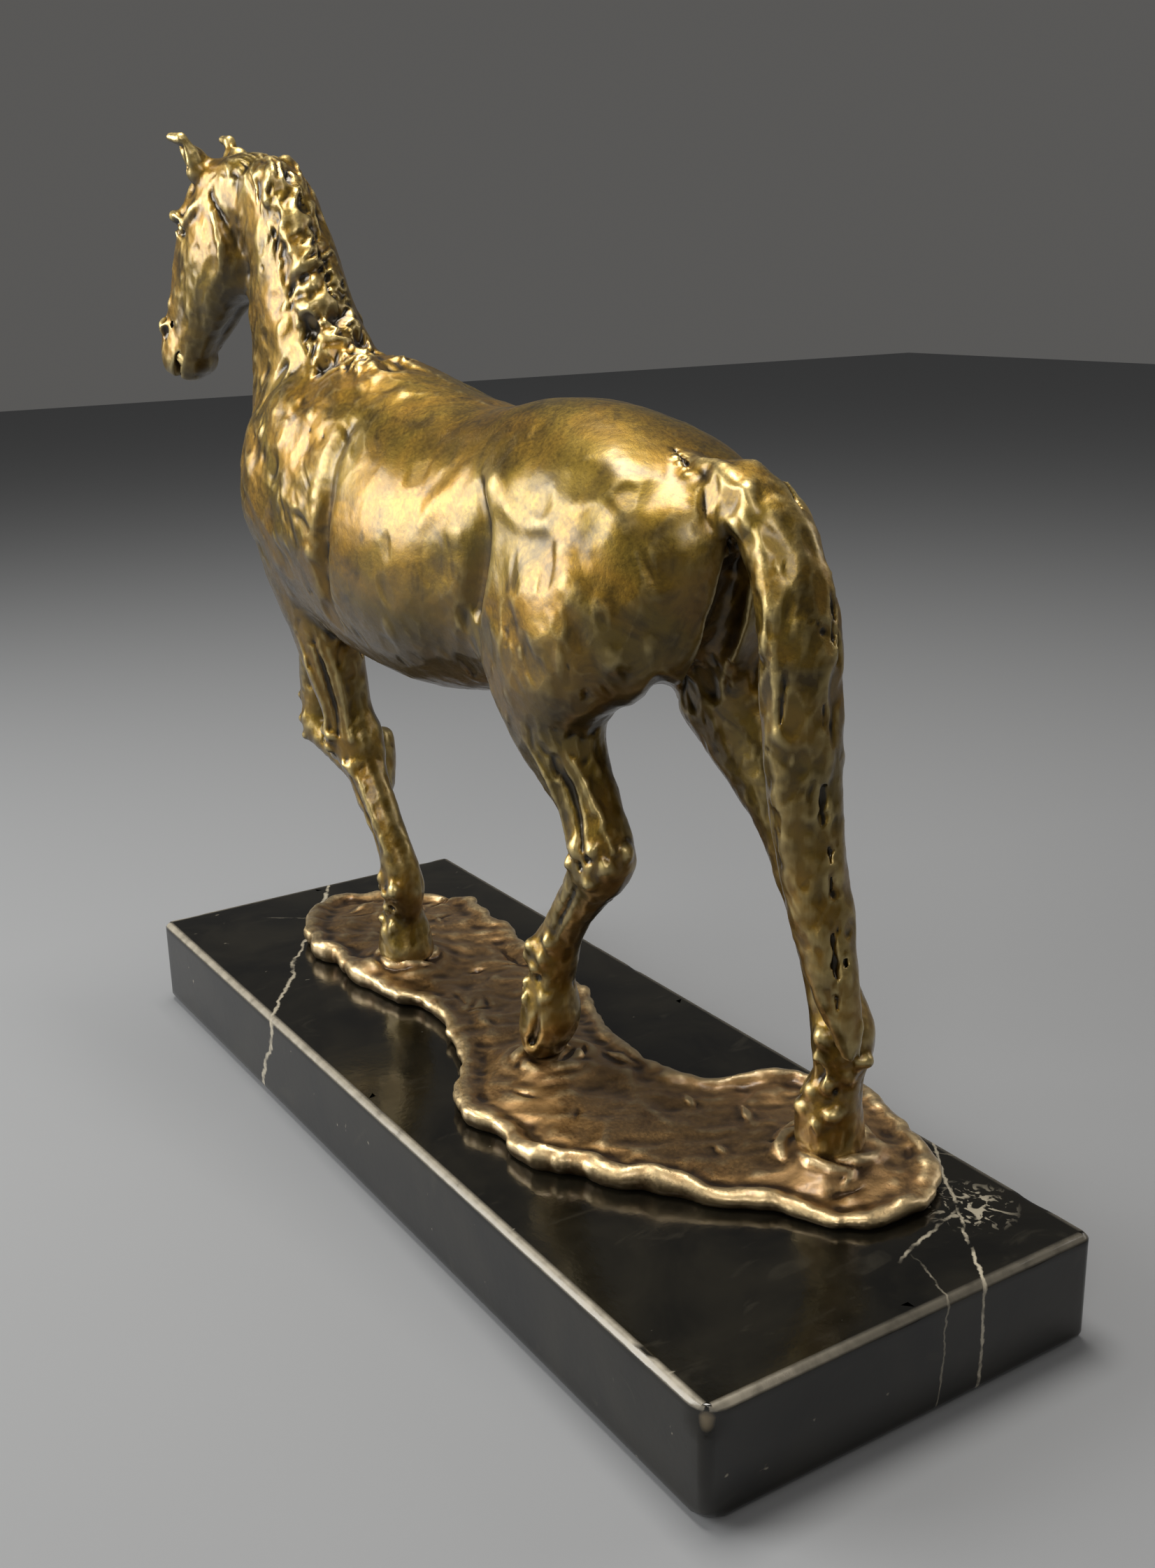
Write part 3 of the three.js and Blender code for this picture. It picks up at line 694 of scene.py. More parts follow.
def mane_height(points):
    """Height in mm of the locks on the crest, flowing back and over to the left."""
    height = np.zeros(len(points))
    near = (points[:, 2] > 222) & (points[:, 0] > 50) & (points[:, 0] < 140)
    line = smooth_path(np.array(CREST, float), LINE)
    run = np.gradient(line, axis=0)
    run /= np.linalg.norm(run, axis=1)[:, None]
    left = np.cross((0, 0, 1), run)
    left *= np.sign(left[:, 1:2]) / np.linalg.norm(left, axis=1)[:, None]
    spot = points[near]
    closest = np.array([((line - q) ** 2).sum(1).argmin() for q in spot])
    offset = spot - line[closest]
    out = (offset * left[closest]).sum(1)
    deep = np.linalg.norm(offset, axis=1) * np.sign(out)
    length = np.append(0, np.cumsum(np.linalg.norm(np.diff(line, axis=0), axis=1)))
    along = length[closest] + (offset * run[closest]).sum(1)
    share = closest / (len(line) - 1)
    width = np.interp(share, (0, 0.25, 0.6, 0.9), (15, 12, 11.5, 12))
    poll = step_up(share, 0.45, 0.7)
    strands = 0
    for lean, long, weight in ((0.3, 9.0, poll), (0.85, 4.2, 1 - poll)):
        across = deep * math.cos(lean) + along * math.sin(lean)
        down = deep * math.sin(lean) - along * math.cos(lean)
        bent = across + 1.3 * noise(np.stack([across / 9, down / 9, 0 * down], 1), 1.0)
        fine = 1 - 2 * np.abs(noise(np.stack([bent / 1.9, down / long, 0 * down + 4], 1), 1.0))
        clump = noise(np.stack([bent / 4.2, down / (1.7 * long), 0 * down + 9], 1), 1.0)
        strands = strands + weight * (0.72 * (fine - 0.35) + 0.85 * clump)
    mask = step_up(-deep, -width - 1.0, -width + 1.0) * step_up(deep, -9, -6) * step_up(share, 0.0, 0.03)
    mask *= 1 - step_up(share, 0.93, 0.99)
    height[near] = mask * strands
    return height


TAIL = [
    (-66, -9.5, 204), (-76, -10, 206), (-87, -10.5, 205.5), (-96, -11, 199), (-103.2, -11.9, 187),
    (-106.4, -12.5, 170), (-106.7, -13.3, 152), (-107, -14.3, 134), (-109.2, -15.3, 116), (-113, -16.4, 99),
    (-117.8, -17.2, 84), (-121.5, -18, 70),
]
TAIL_RADIUS = [(4, 5), (6, 7), (7, 8.2), (7.2, 8.6), (7.2, 9.2), (7.2, 9.8), (7.2, 9.2), (6.6, 8.0),
               (6.0, 6.8), (5.2, 5.6), (3.8, 4.0), (1.6, 1.6)]


def tail_strand(start, end, turn, swirl, depth, wobble):
    """Points down the tail, turn radians round it."""
    spine_line = smooth_path(np.array(TAIL, float))
    size = smooth_path(np.array([(a, b, 0) for a, b in TAIL_RADIUS], float))
    shares = np.linspace(start, end, 9)
    points = []
    for t in shares:
        i = t * (len(spine_line) - 1)
        j = min(int(i), len(spine_line) - 2)
        centre = spine_line[j] + (i - j) * (spine_line[j + 1] - spine_line[j])
        along = unit(spine_line[j + 1] - spine_line[j])
        side = unit(np.cross(along, (0, 1, 0)))
        angle = turn + swirl * (t - start) + wobble * math.sin(9 * t + 3 * turn)
        points.append(centre + depth * (size[j, 0] * math.cos(angle) * side
                                        + size[j, 1] * math.sin(angle) * np.array([0, 1, 0])))
    return points


def shape_tail(clay):
    for k in range(9):  # thick twisted locks
        turn = 2 * math.pi * k / 9 + rng.uniform(-0.25, 0.25)
        start, end = rng.uniform(0.02, 0.25), rng.uniform(0.85, 1.0)
        thick = rng.uniform(2.4, 3.6)
        path = tail_strand(start, end, turn, rng.uniform(-2.2, -0.8), 0.76, rng.uniform(0.2, 0.5))
        clay.stroke(path, (thick * 0.5, thick, thick * 0.75, thick, thick * 0.7, thick, 0.6), 2.0)
    for k in range(46):  # lumps and strands over them
        start = rng.uniform(0.05, 0.85)
        path = tail_strand(start, start + rng.uniform(0.05, 0.2), rng.uniform(0, 2 * math.pi),
                           rng.uniform(-5, 0.5), 0.97, rng.uniform(0, 0.5))
        thick = rng.uniform(0.9, 2.1)
        clay.stroke(path, (0.3, thick, thick * 0.8, 0.3), 1.0)
    for k in range(60):  # grooves
        start = rng.uniform(0.06, 0.93)
        path = tail_strand(start, start + rng.uniform(0.03, 0.14), rng.uniform(0, 2 * math.pi),
                           rng.uniform(-5, 1), rng.uniform(1.08, 1.18), rng.uniform(0, 0.3))
        clay.stroke(path, (0.2, rng.uniform(0.7, 1.3) * (1 - 0.5 * start), 0.3), 0.6, dig=True)
    for _ in range(170):  # flats and bosses
        share = rng.uniform(0.02, 0.97)
        place = tail_strand(share, 1.0, rng.uniform(0, 2 * math.pi), 0.0, 1.0, 0.0)[0]
        across = rng.uniform(3.5, 6.5)
        depth = rng.choice((1, -1)) * rng.uniform(0.4, 0.9) * (1 - 0.55 * share)
        clay.press(place, across, depth)


def shape_hindquarters(clay):
    """The cleft between the thighs and the flats the sculptor pressed into the left one."""
    clay.stroke([(-91, -7, 194), (-88, -7, 185), (-83, -7, 174), (-77, -7, 164), (-70, -8, 155),
                 (-56, -9, 149)],
                (2.8, 4.6, 5.6, 6.2, 6.6, 6.0), 2.0, dig=True)
    clay.stroke([(-86, 12, 158.4), (-75, 4.6, 155.4), (-55, -9.6, 149), (-35, -23.8, 143), (-15, -38, 137)],
                (4, 4.2, 4.4, 4.2, 3), 2.0, dig=True)
    clay.stroke([(-92, 22, 158), (-75, 9, 152), (-55, -5, 145), (-35, -19, 139)], (4.5, 4.5, 4.8, 4),
                2.0, dig=True)
    clay.stroke([(-21, 17.5, 206), (-31, 19.6, 200), (-39.5, 19.2, 195.4), (-49.5, 17.3, 195.6),
                 (-57, 13.8, 199.5),
                 (-64.5, 10.2, 202)], (2.4, 3.0, 2.8, 2.8, 2.6, 1.6), 3.0)
    clay.ball((-27, 18.4, 204), (4.6, 4.2, 4.0), soft=2.5)
    clay.stroke([(-9, 18.2, 205), (-5, 21, 199.5), (1, 23.8, 194), (7, 26.4, 184)],
                (1.6, 2.6, 3.0, 1.8), 3.5)
    clay.stroke([(-27, 21, 188), (-28.5, 22.2, 177), (-26, 22.2, 166), (-29, 21, 156)],
                (2.2, 3.2, 3.4, 3.0), 3.0)
    clay.stroke([(-20, 23.4, 203), (-23.5, 24.6, 194), (-22, 25.4, 183), (-17, 25, 171)],
                (1.6, 2.9, 3.3, 2.6), 4.0,
                dig=True)
    for x, y, z, across, depth in (
            (-48, 21, 187, 9.5, 1.0), (-37, 22, 180, 6, 0.5), (-43, 22, 172, 8, 0.6), (-60, 15, 209, 8,
                                                                                       0.6),
            (-54, 13, 205, 7, 0.5), (-73, 6, 203, 6, 0.5), (-66, 18, 170, 9, 0.8), (-46, 23, 163, 8, 0.7),
            (-79, 5, 188, 7, 0.5), (-57, 19, 190, 6, -0.6), (-76, 9, 182, 8, -0.7), (-70, 10, 198, 7, -0.7),
            (-34, 22, 166, 6, -0.6), (-60, 20, 181, 7, -0.6), (-2, 25, 180, 8, 0.4),
            (-10, 24, 190, 5, -0.5), (-46, 17, 200, 5, 0.6), (-63, 12, 196, 6, 0.7), (-80, 3, 178, 6, 0.6)):
        clay.press((x, y, z), across, depth)
    clay.stroke([(-60, 19.4, 184), (-67, 16.4, 176), (-70, 14.6, 166)], (2.4, 3.4, 2.4), 4.0)
    for x, y, z in ((-67.5, 14.6, 193), (-70, 13.2, 191), (-68.6, 14.4, 189), (-71, 11.8, 194.5),
                    (-66, 16, 190.5)):
        clay.ball((x, y, z), rng.uniform(0.8, 1.5, 3), soft=0.7, dig=True)
    clay.stroke([(-74, 12.2, 178.6), (-75.5, 11.2, 177.8), (-77.4, 9.6, 177.9)], (0.3, 0.9, 0.3), 0.5,
                dig=True)
    clay.stroke([(-74.4, 12.0, 176.9), (-76, 10.6, 176.5)], (0.8, 0.3), 0.6)


def shape_shoulder(clay):
    """Flats and low bosses on the shoulder, upper arm, breast and neck."""
    for _ in range(95):
        x, z = rng.uniform(58, 128), rng.uniform(166, 262)
        if z > 205 and x < 60 + 0.55 * (z - 205):
            continue
        across = rng.uniform(3.5, 7.0)
        clay.press((x, 36 if z < 215 else 26, z), across, rng.choice((1, 1, -1)) * rng.uniform(0.35, 0.8))


def shape_dock(clay):
    """The rough weld beside the root of the tail."""
    line = clay.settle(smooth_path(np.array([(-64, -5.6, 212), (-70, -4.8, 209), (-76, -3.6, 206),
                                             (-82, -2.0, 201),
                                             (-86, -3.0, 196), (-88, -4.5, 192)], float), 5))
    clay.stroke(line + (0.6, -1.7, 0.1), (0.4, 0.8, 0.9, 1.1, 1.1, 0.6), 0.3, dig=True)
    for point in (line - 0.6 * clay.outward(line))[1::2]:
        turn = np.array(Matrix.Rotation(rng.uniform(0, 3), 3, (0.3, 0.8, 0.5)))
        clay.ball(point + rng.normal(0, 0.3, 3) - (0, 0.1, 0.3), rng.uniform(0.9, 1.5, 3), turn, 0.3)


def lump(clay, points, size, soft=1.0, dig=False):
    """Small pellets near each point, standing proud of the surface or dug out of it."""
    places = clay.settle(np.array(points, float))
    sink = 0.0 if dig else 0.72 * size
    for place, out in zip(places, clay.outward(places)):
        clay.ball(place - sink * out, rng.uniform(0.85, 1.6, 3) * size, soft=soft if dig else 2.2, dig=dig)


def shape_legs(clay):
    """Knees, hocks, fetlocks and hooves: pellets over the bone, drawn tendons, pitted hollows."""
    def ridge(points, radii, soft=1.0, dig=False):
        line = clay.settle(np.array(points, float))
        clay.stroke(line - (0 if dig else 0.5 * max(radii)) * clay.outward(line), radii, soft, dig)

    # left fore
    lump(clay, [(92, 18, 113), (94, 16, 109), (90, 19, 108), (93, 17, 104.5), (88, 20, 112), (95, 14,
                                                                                              113)], 2.0)
    lump(clay, [(91.5, 19, 110.8), (93, 17.5, 106.6), (89, 20, 105)], 0.9, 0.5, dig=True)
    clay.ball((81.5, 13.5, 109), (4.2, 3.6, 5.6), soft=2.0)  # the bone behind the knee
    lump(clay, [(80, 18, 101), (83, 17.5, 103)], 1.8)
    ridge([(93, 24, 145), (90, 22.5, 133), (88.5, 21, 122), (89, 19, 113)], (0.5, 1.7, 1.5, 1.0))
    ridge([(83, 22, 142), (82, 19.5, 130), (82, 18, 119), (81, 17, 111)], (0.5, 1.5, 1.3, 0.8))
    ridge([(87, 24, 144), (85.5, 22, 132), (85, 20, 121), (85, 19, 113)], (0.6, 1.3, 1.2, 0.8), dig=True)
    ridge([(81, 17, 99), (75, 15.5, 87), (70, 13.8, 76)], (0.8, 1.1, 0.6), dig=True)
    ridge([(77.5, 16, 99), (71.5, 15, 87), (66.5, 13.5, 76)], (1.2, 1.4, 1.0))
    lump(clay, [(71, 14, 66), (67, 14.5, 62), (73, 12, 62), (64, 12, 64)], 2.0)
    lump(clay, [(69, 14, 56), (73, 13, 51), (66, 14, 50), (77, 10, 50), (70, 14.5, 47)], 1.5)
    lump(clay, [(70, 14, 59.5), (66, 13.5, 57)], 1.1, 0.6, dig=True)
    # right fore
    lump(clay, [(142, 5, 112), (144, 3, 107), (141, 7, 104), (143, 4, 100), (139, 7, 99)], 1.6)
    # left hind
    lump(clay, [(-58, 14, 113), (-61, 12, 109), (-52, 15.5, 112), (-48, 14.5, 107), (-56, 14, 104),
                (-60, 8, 112)], 2.1)
    lump(clay, [(-54, 16, 108), (-50, 15.5, 110), (-57, 15, 110.5)], 1.1, 0.6, dig=True)
    ridge([(-50, 18, 140), (-56, 15, 130), (-59, 13, 121), (-61, 11, 113)], (0.6, 1.7, 1.6, 1.2))
    ridge([(-38, 20, 140), (-44, 17.5, 129), (-47, 15.5, 119), (-49, 15, 112)], (0.6, 1.5, 1.4, 1.0))
    ridge([(-44, 19.5, 139), (-50, 17, 129), (-53, 15, 120), (-54.5, 14.5, 114)], (0.6, 1.5, 1.4, 0.8),
          dig=True)
    ridge([(-50, 14.5, 101), (-41, 13.5, 90), (-33.5, 13, 80)], (0.8, 1.2, 0.7), dig=True)
    lump(clay, [(-24, 13.5, 75), (-29, 13, 73), (-22, 12, 71), (-31, 10, 77), (-26, 13, 69)], 1.9)
    lump(clay, [(-19, 13, 59), (-17, 11, 55), (-23, 14, 58), (-28, 12, 60), (-21, 13.5, 63)], 1.7)
    lump(clay, [(-27, 13, 66), (-20, 12.5, 65)], 1.0, 0.6, dig=True)
    clay.stroke([(-29, 15.6, 58), (-27, 15.4, 50), (-22, 14, 44)], (0.8, 1.6, 0.8), 0.8,
                dig=True)  # side of the hoof
    # right hind
    lump(clay, [(-114, -23, 72), (-109, -20.5, 71), (-114, -27, 66), (-108, -20, 65), (-115, -24, 61)], 2.0)
    lump(clay, [(-110, -21, 58), (-105, -20.5, 54), (-111, -22, 50), (-103, -19.5, 49), (-108, -20,
                                                                                         46)], 1.7)
    lump(clay, [(-108, -20.5, 61), (-112, -22, 56)], 1.1, 0.6, dig=True)
    ridge([(-101, -21, 60), (-100, -20, 52)], (0.8, 1.0), dig=True)


def shape_leg_flats(clay, skin_points):
    """Flats and low bosses all over the legs and hooves."""
    low = skin_points[skin_points[:, 2] < 150]
    for place in low[rng.integers(0, len(low), 300)]:
        clay.press(place, rng.uniform(2.8, 5.5), rng.choice((1, -1)) * rng.uniform(0.2, 0.5))


def shape_details(clay):
    clay.field = blur(clay.field, 0.8, clay.step)
    shape_head(clay)
    shape_mane(clay)
    shape_shoulder(clay)
    shape_hindquarters(clay)
    shape_tail(clay)
    shape_dock(clay)
    shape_legs(clay)
    shape_leg_flats(clay, clay.skin()[0])
    clay.field = blur(clay.field, 0.32, clay.step)


def grain_at(p):
    """The direction the modelling strokes follow near a point."""
    x, _, z = p
    if z > 230 and x > 120:
        return DOWN_FACE
    if x > 70 and z > 195:
        return np.array([0.45, 0.0, -0.9])
    if x < -88:
        return np.array([-0.15, 0.0, -1.0])
    if z < 150:
        return np.array([0.1, 0.0, -1.0])
    if x > 25:
        return np.array([-0.55, 0.0, -0.83])
    return np.array([-0.35, 0.1, -0.93])


def busyness(points):
    """0 on the smooth back, croup and barrel, 1 on the hacked shoulder, neck, legs and tail."""
    x, _, z = points.T
    smooth = np.exp(-(((x + 34) / 66) ** 2 + ((z - 206) / 36) ** 2) ** 2)
    barrel = np.exp(-(((x - 24) / 30) ** 2 + ((z - 190) / 40) ** 2) ** 2)
    return np.clip(1 - 0.8 * np.maximum(smooth, barrel), 0.2, 1)


def worked(points):
    """Height in mm of the modelled surface: scoops drawn out along the strokes, then lumps."""
    x, _, z = points.T
    neck = step_up(x, 62, 80) * step_up(z, 186, 204)
    small = np.clip(step_up(-z, -152, -138) + step_up(x, 122, 130) + step_up(-x, 86, 92), 0, 1)
    sheer = stretched(points, (0.35, 0.15, -0.92), 2.1)
    drawn = stretched(points, (0.62, 0.1, -0.78), 2.3)
    upright = stretched(points, (-0.3, 0.1, 0.95), 2.2)
    large = scoops(drawn, 7.5, 3) * (1 - neck) + scoops(upright, 6.0, 11) * neck
    fine = scoops(sheer, 3.4, 23)
    lumps = (0.26 * noise(points, 13) + 0.16 * noise(points, 6) + 0.09 * noise(points, 3)
             + 0.05 * noise(points, 1.6))
    patchy = 0.55 + 0.45 * noise(points, 24)
    return (0.42 * large * (1 - small) * patchy + 0.24 * fine * (0.35 + 0.65 * small) * patchy + lumps)


def tool_marks(skin):
    rough = busyness(skin.points)
    normal = skin.averaged(skin.normals(), 1)
    height = worked(skin.points) * (0.22 + 0.78 * rough) - 0.15 + mane_height(skin.points)
    skin.points = skin.points + height[:, None] * normal
    tools = Tools(skin)
    low, high = skin.points.min(0), skin.points.max(0)

    def scatter(tries, act, inside):
        for place in rng.uniform(low, high, (tries, 3)):
            index = tools.spot(place, 3.0)
            draws = rng.random(6)
            if index is None:
                continue
            point = skin.points[index]
            if inside(point) > draws[5]:
                act(point, grain_at(point), draws)

    def busy(p):
        return float(busyness(p[None])[0])

    def pellet(p, grain, r):
        grain = grain + 0.5 * (r[:3] - 0.5)
        small = 0.6 if p[2] < 150 or p[0] > 118 else 1.0
        tools.dab(p, grain, small * (3.0 + 4.5 * r[3]), small * (1.6 + 1.8 * r[4]),
                  small * (0.12 + 0.30 * r[0]), 0.8)

    def shave(p, grain, r):
        grain = grain + 0.7 * (r[:3] - 0.5)
        small = 0.55 if p[2] < 150 or p[0] > 118 else 1.0
        tools.facet(p, grain, small * (5 + 5 * r[3]), small * (3 + 3 * r[4]), small * (0.08 + 0.16 * r[0]),
                    (0.10 * (r[1] - 0.5), 0.22 * (r[2] - 0.5)))

    def nick(p, grain, r):
        run = unit(grain + 0.8 * (r[:3] - 0.5)) * (2 + 4 * r[3])
        tools.cut([p - run, p, p + run], 0.7 + 0.5 * r[4], 0.12 + 0.20 * r[0], 0.06)

    def pit(p, grain, r):
        tools.dab(p, grain, 0.9 + 0.8 * r[3], 0.8 + 0.5 * r[4], -(0.12 + 0.22 * r[0]), edge=0.9)

    scatter(5000, pellet, lambda p: busy(p) ** 3)
    scatter(9000, shave, lambda p: 1.15 * busy(p) ** 1.5)
    scatter(2600, nick, lambda p: busy(p) ** 3)
    scatter(2500, pit, lambda p: 0.7 * busy(p) ** 2)


skin, label = sculpted_horse()
tool_marks(skin)
relief = relief_of(skin)
horse = split(skin, label, CASTINGS, {"relief": relief})


# ---------------------------------------------------------------- the bronze ground

GROUND_EDGE = [
    (115, 26), (137, 12), (146, -5), (135, -16), (120, -31), (104, -39), (85, -35), (78, -38), (63, -34),
    (25, -33), (4, -27), (-21, -20), (-42, -19), (-57, -28), (-65, -47), (-81, -58), (-101, -56), (-121,
                                                                                                   -48),
    (-132, -41), (-138, -28), (-133, -9), (-126, -4), (-114, 1), (-103, 13), (-90, 20), (-82, 27), (-75,
                                                                                                    31),
    (-65, 38), (-56, 41), (-42, 40), (-29, 43), (-15, 36), (2, 26), (36, 18), (50, 23), (67, 26), (86, 26),
    (100, 28),
]
HOOVES = {"left_fore": (70, 7), "left_hind": (-22, 8), "right_hind": (-105, -26)}


def edge_distance(x, y, ring):
    """Signed distance in mm from a closed outline, negative inside."""
    best = np.full(x.shape, 1e9)
    inside = np.zeros(x.shape, bool)
    for (ax, ay), (bx, by) in zip(ring, np.roll(ring, -1, 0)):
        dx, dy = bx - ax, by - ay
        t = np.clip(((x - ax) * dx + (y - ay) * dy) / (dx * dx + dy * dy), 0, 1)
        best = np.minimum(best, np.hypot(x - ax - t * dx, y - ay - t * dy))
        crosses = (ay > y) != (by > y)
        inside ^= crosses & (x < ax + (y - ay) * dx / np.where(dy == 0, 1e-9, dy))
    return np.where(inside, -best, best)


def ground_skin():
    """Trodden earth: a torn lip round the edge, dragged strokes on top and a collar at each hoof."""
    low, high = (np.array(v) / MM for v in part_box("ground_casting"))
    clay = Clay(low - (6, 6, 3), high + (6, 6, 6), GROUND_GRID)
    ring = smooth_path(np.vstack([GROUND_EDGE, GROUND_EDGE[:1]]).astype(float), 3)[:-1]
    _, (x, y, z) = clay.window(low - 20, high + 20)
    sheet = np.broadcast_arrays(x[:, :, 0], y[:, :, 0], 0 * x[:, :, 0])
    flat = np.stack(sheet, -1).reshape(-1, 3).astype(float)
    x2, y2 = flat[:, 0], flat[:, 1]
    rim = edge_distance(x2, y2, ring) + 1.3 * noise(flat, 9) + 0.7 * noise(flat, 3.5) + 0.6
    top = 35.2 + 1.5 * noise(flat, 42) + 0.8 * noise(flat, 17)
    top += 0.9 * (scoops(stretched(flat, (0.8, -0.6, 0), 1.9), 13, 5) - 0.5)
    top += 0.6 * (scoops(stretched(flat, (0.5, 0.85, 0), 2.2), 5.5, 31) - 0.5)
    top += 0.5 * noise(flat, 7) + 0.12 * noise(flat, 2.6)
    lip = np.clip(0.5 + 0.9 * noise(flat + 90, 26), 0, 1.2)
    top += 2.1 * lip * np.exp(-((rim + 3.2) / 2.4) ** 2) - 0.8 * np.exp(-((rim + 7.5) / 3.5) ** 2)
    top -= 1.6 * step_up(-x2, 112, 140) + 0.8 * step_up(x2, 120, 146)
    for hoof_x, hoof_y in HOOVES.values():
        away = np.hypot(x2 - hoof_x, y2 - hoof_y)
        top += (37.9 - 35.2 - 0.2 * noise(flat, 6)) * np.exp(-(away / 14.5) ** 4) * np.where(away < 30,
                                                                                             1, 0)
        top += 0.9 * np.exp(-((away - 13.2 - 0.8 * noise(flat,
                                                         8)) / 1.9) ** 2) * (0.6 + 0.5 * noise(flat, 9))
    top = np.clip(top, 32.0, high[2] + 1.2)
    shape = (clay.shape[0], clay.shape[1], 1)
    rim, top = rim.reshape(shape), top.reshape(shape)
    under = 1.1 * np.clip((34.0 - z) / 3.0, 0, 1) ** 2  # the edge curls in beneath its lip
    side, lid = (rim + under).astype(np.float32), (z - top).astype(np.float32)
    h = np.clip(0.5 + 0.5 * (side - lid) / 1.6, 0, 1)
    body = lid + (side - lid) * h + 1.6 * h * (1 - h)
    clay.field = np.clip(np.maximum(body, low[2] - z), -BAND, BAND).astype(np.float32)
    for name, turn in (("right_hind", 0.35), ("left_fore", 2.4), ("left_hind", 1.2)):
        cx, cy = HOOVES[name]
        reach = 0.86 if name == "right_hind" else 0.66
        for k in range(5):
            a0 = turn + 1.25 * k + rng.uniform(-0.2, 0.2)
            arc = [(cx + reach * (11.5 + 1.5 * j) * math.cos(a0 + 0.42 * j), cy + reach * (11.5 + 1.5 * j)
                    * math.sin(a0 + 0.42 * j), 38.0 - 0.5 * j + rng.uniform(-0.4, 0.4)) for j in range(4)]
            clay.stroke(arc, (0.8, 2.0, 1.8, 0.5), 1.2)
    for _ in range(60):  # strokes of clay and tool cuts
        cx, cy = rng.uniform(-130, 135), rng.uniform(-52, 38)
        if edge_distance(np.array([cx]), np.array([cy]), ring)[0] > -5:
            continue
        height = top[int(np.clip(cx / GROUND_GRID - clay.first[0], 0, clay.shape[0] - 1)),
                     int(np.clip(cy / GROUND_GRID - clay.first[1], 0, clay.shape[1] - 1)), 0]
        heading = rng.uniform(0, math.pi)
        run = np.array([math.cos(heading), math.sin(heading), 0]) * rng.uniform(3, 8)
        start = np.array([cx, cy, height])
        dig = rng.random() < 0.5
        radii = (0.3, rng.uniform(0.8, 1.5), 0.3)
        clay.stroke([start - run, start + (0, 0, 0.2), start + run], radii, 0.8, dig)
    clay.field = blur(clay.field, 0.42, clay.step)
    clay.field = np.maximum(clay.field, (low[2] - z).astype(np.float32))
    return Skin(*clay.skin())


ground_surface = ground_skin()
ground = split(ground_surface, np.zeros(len(ground_surface.quads), int), ["ground_bronze"],
               {"relief": relief_of(ground_surface)})[0]


# ---------------------------------------------------------------- the marble slab

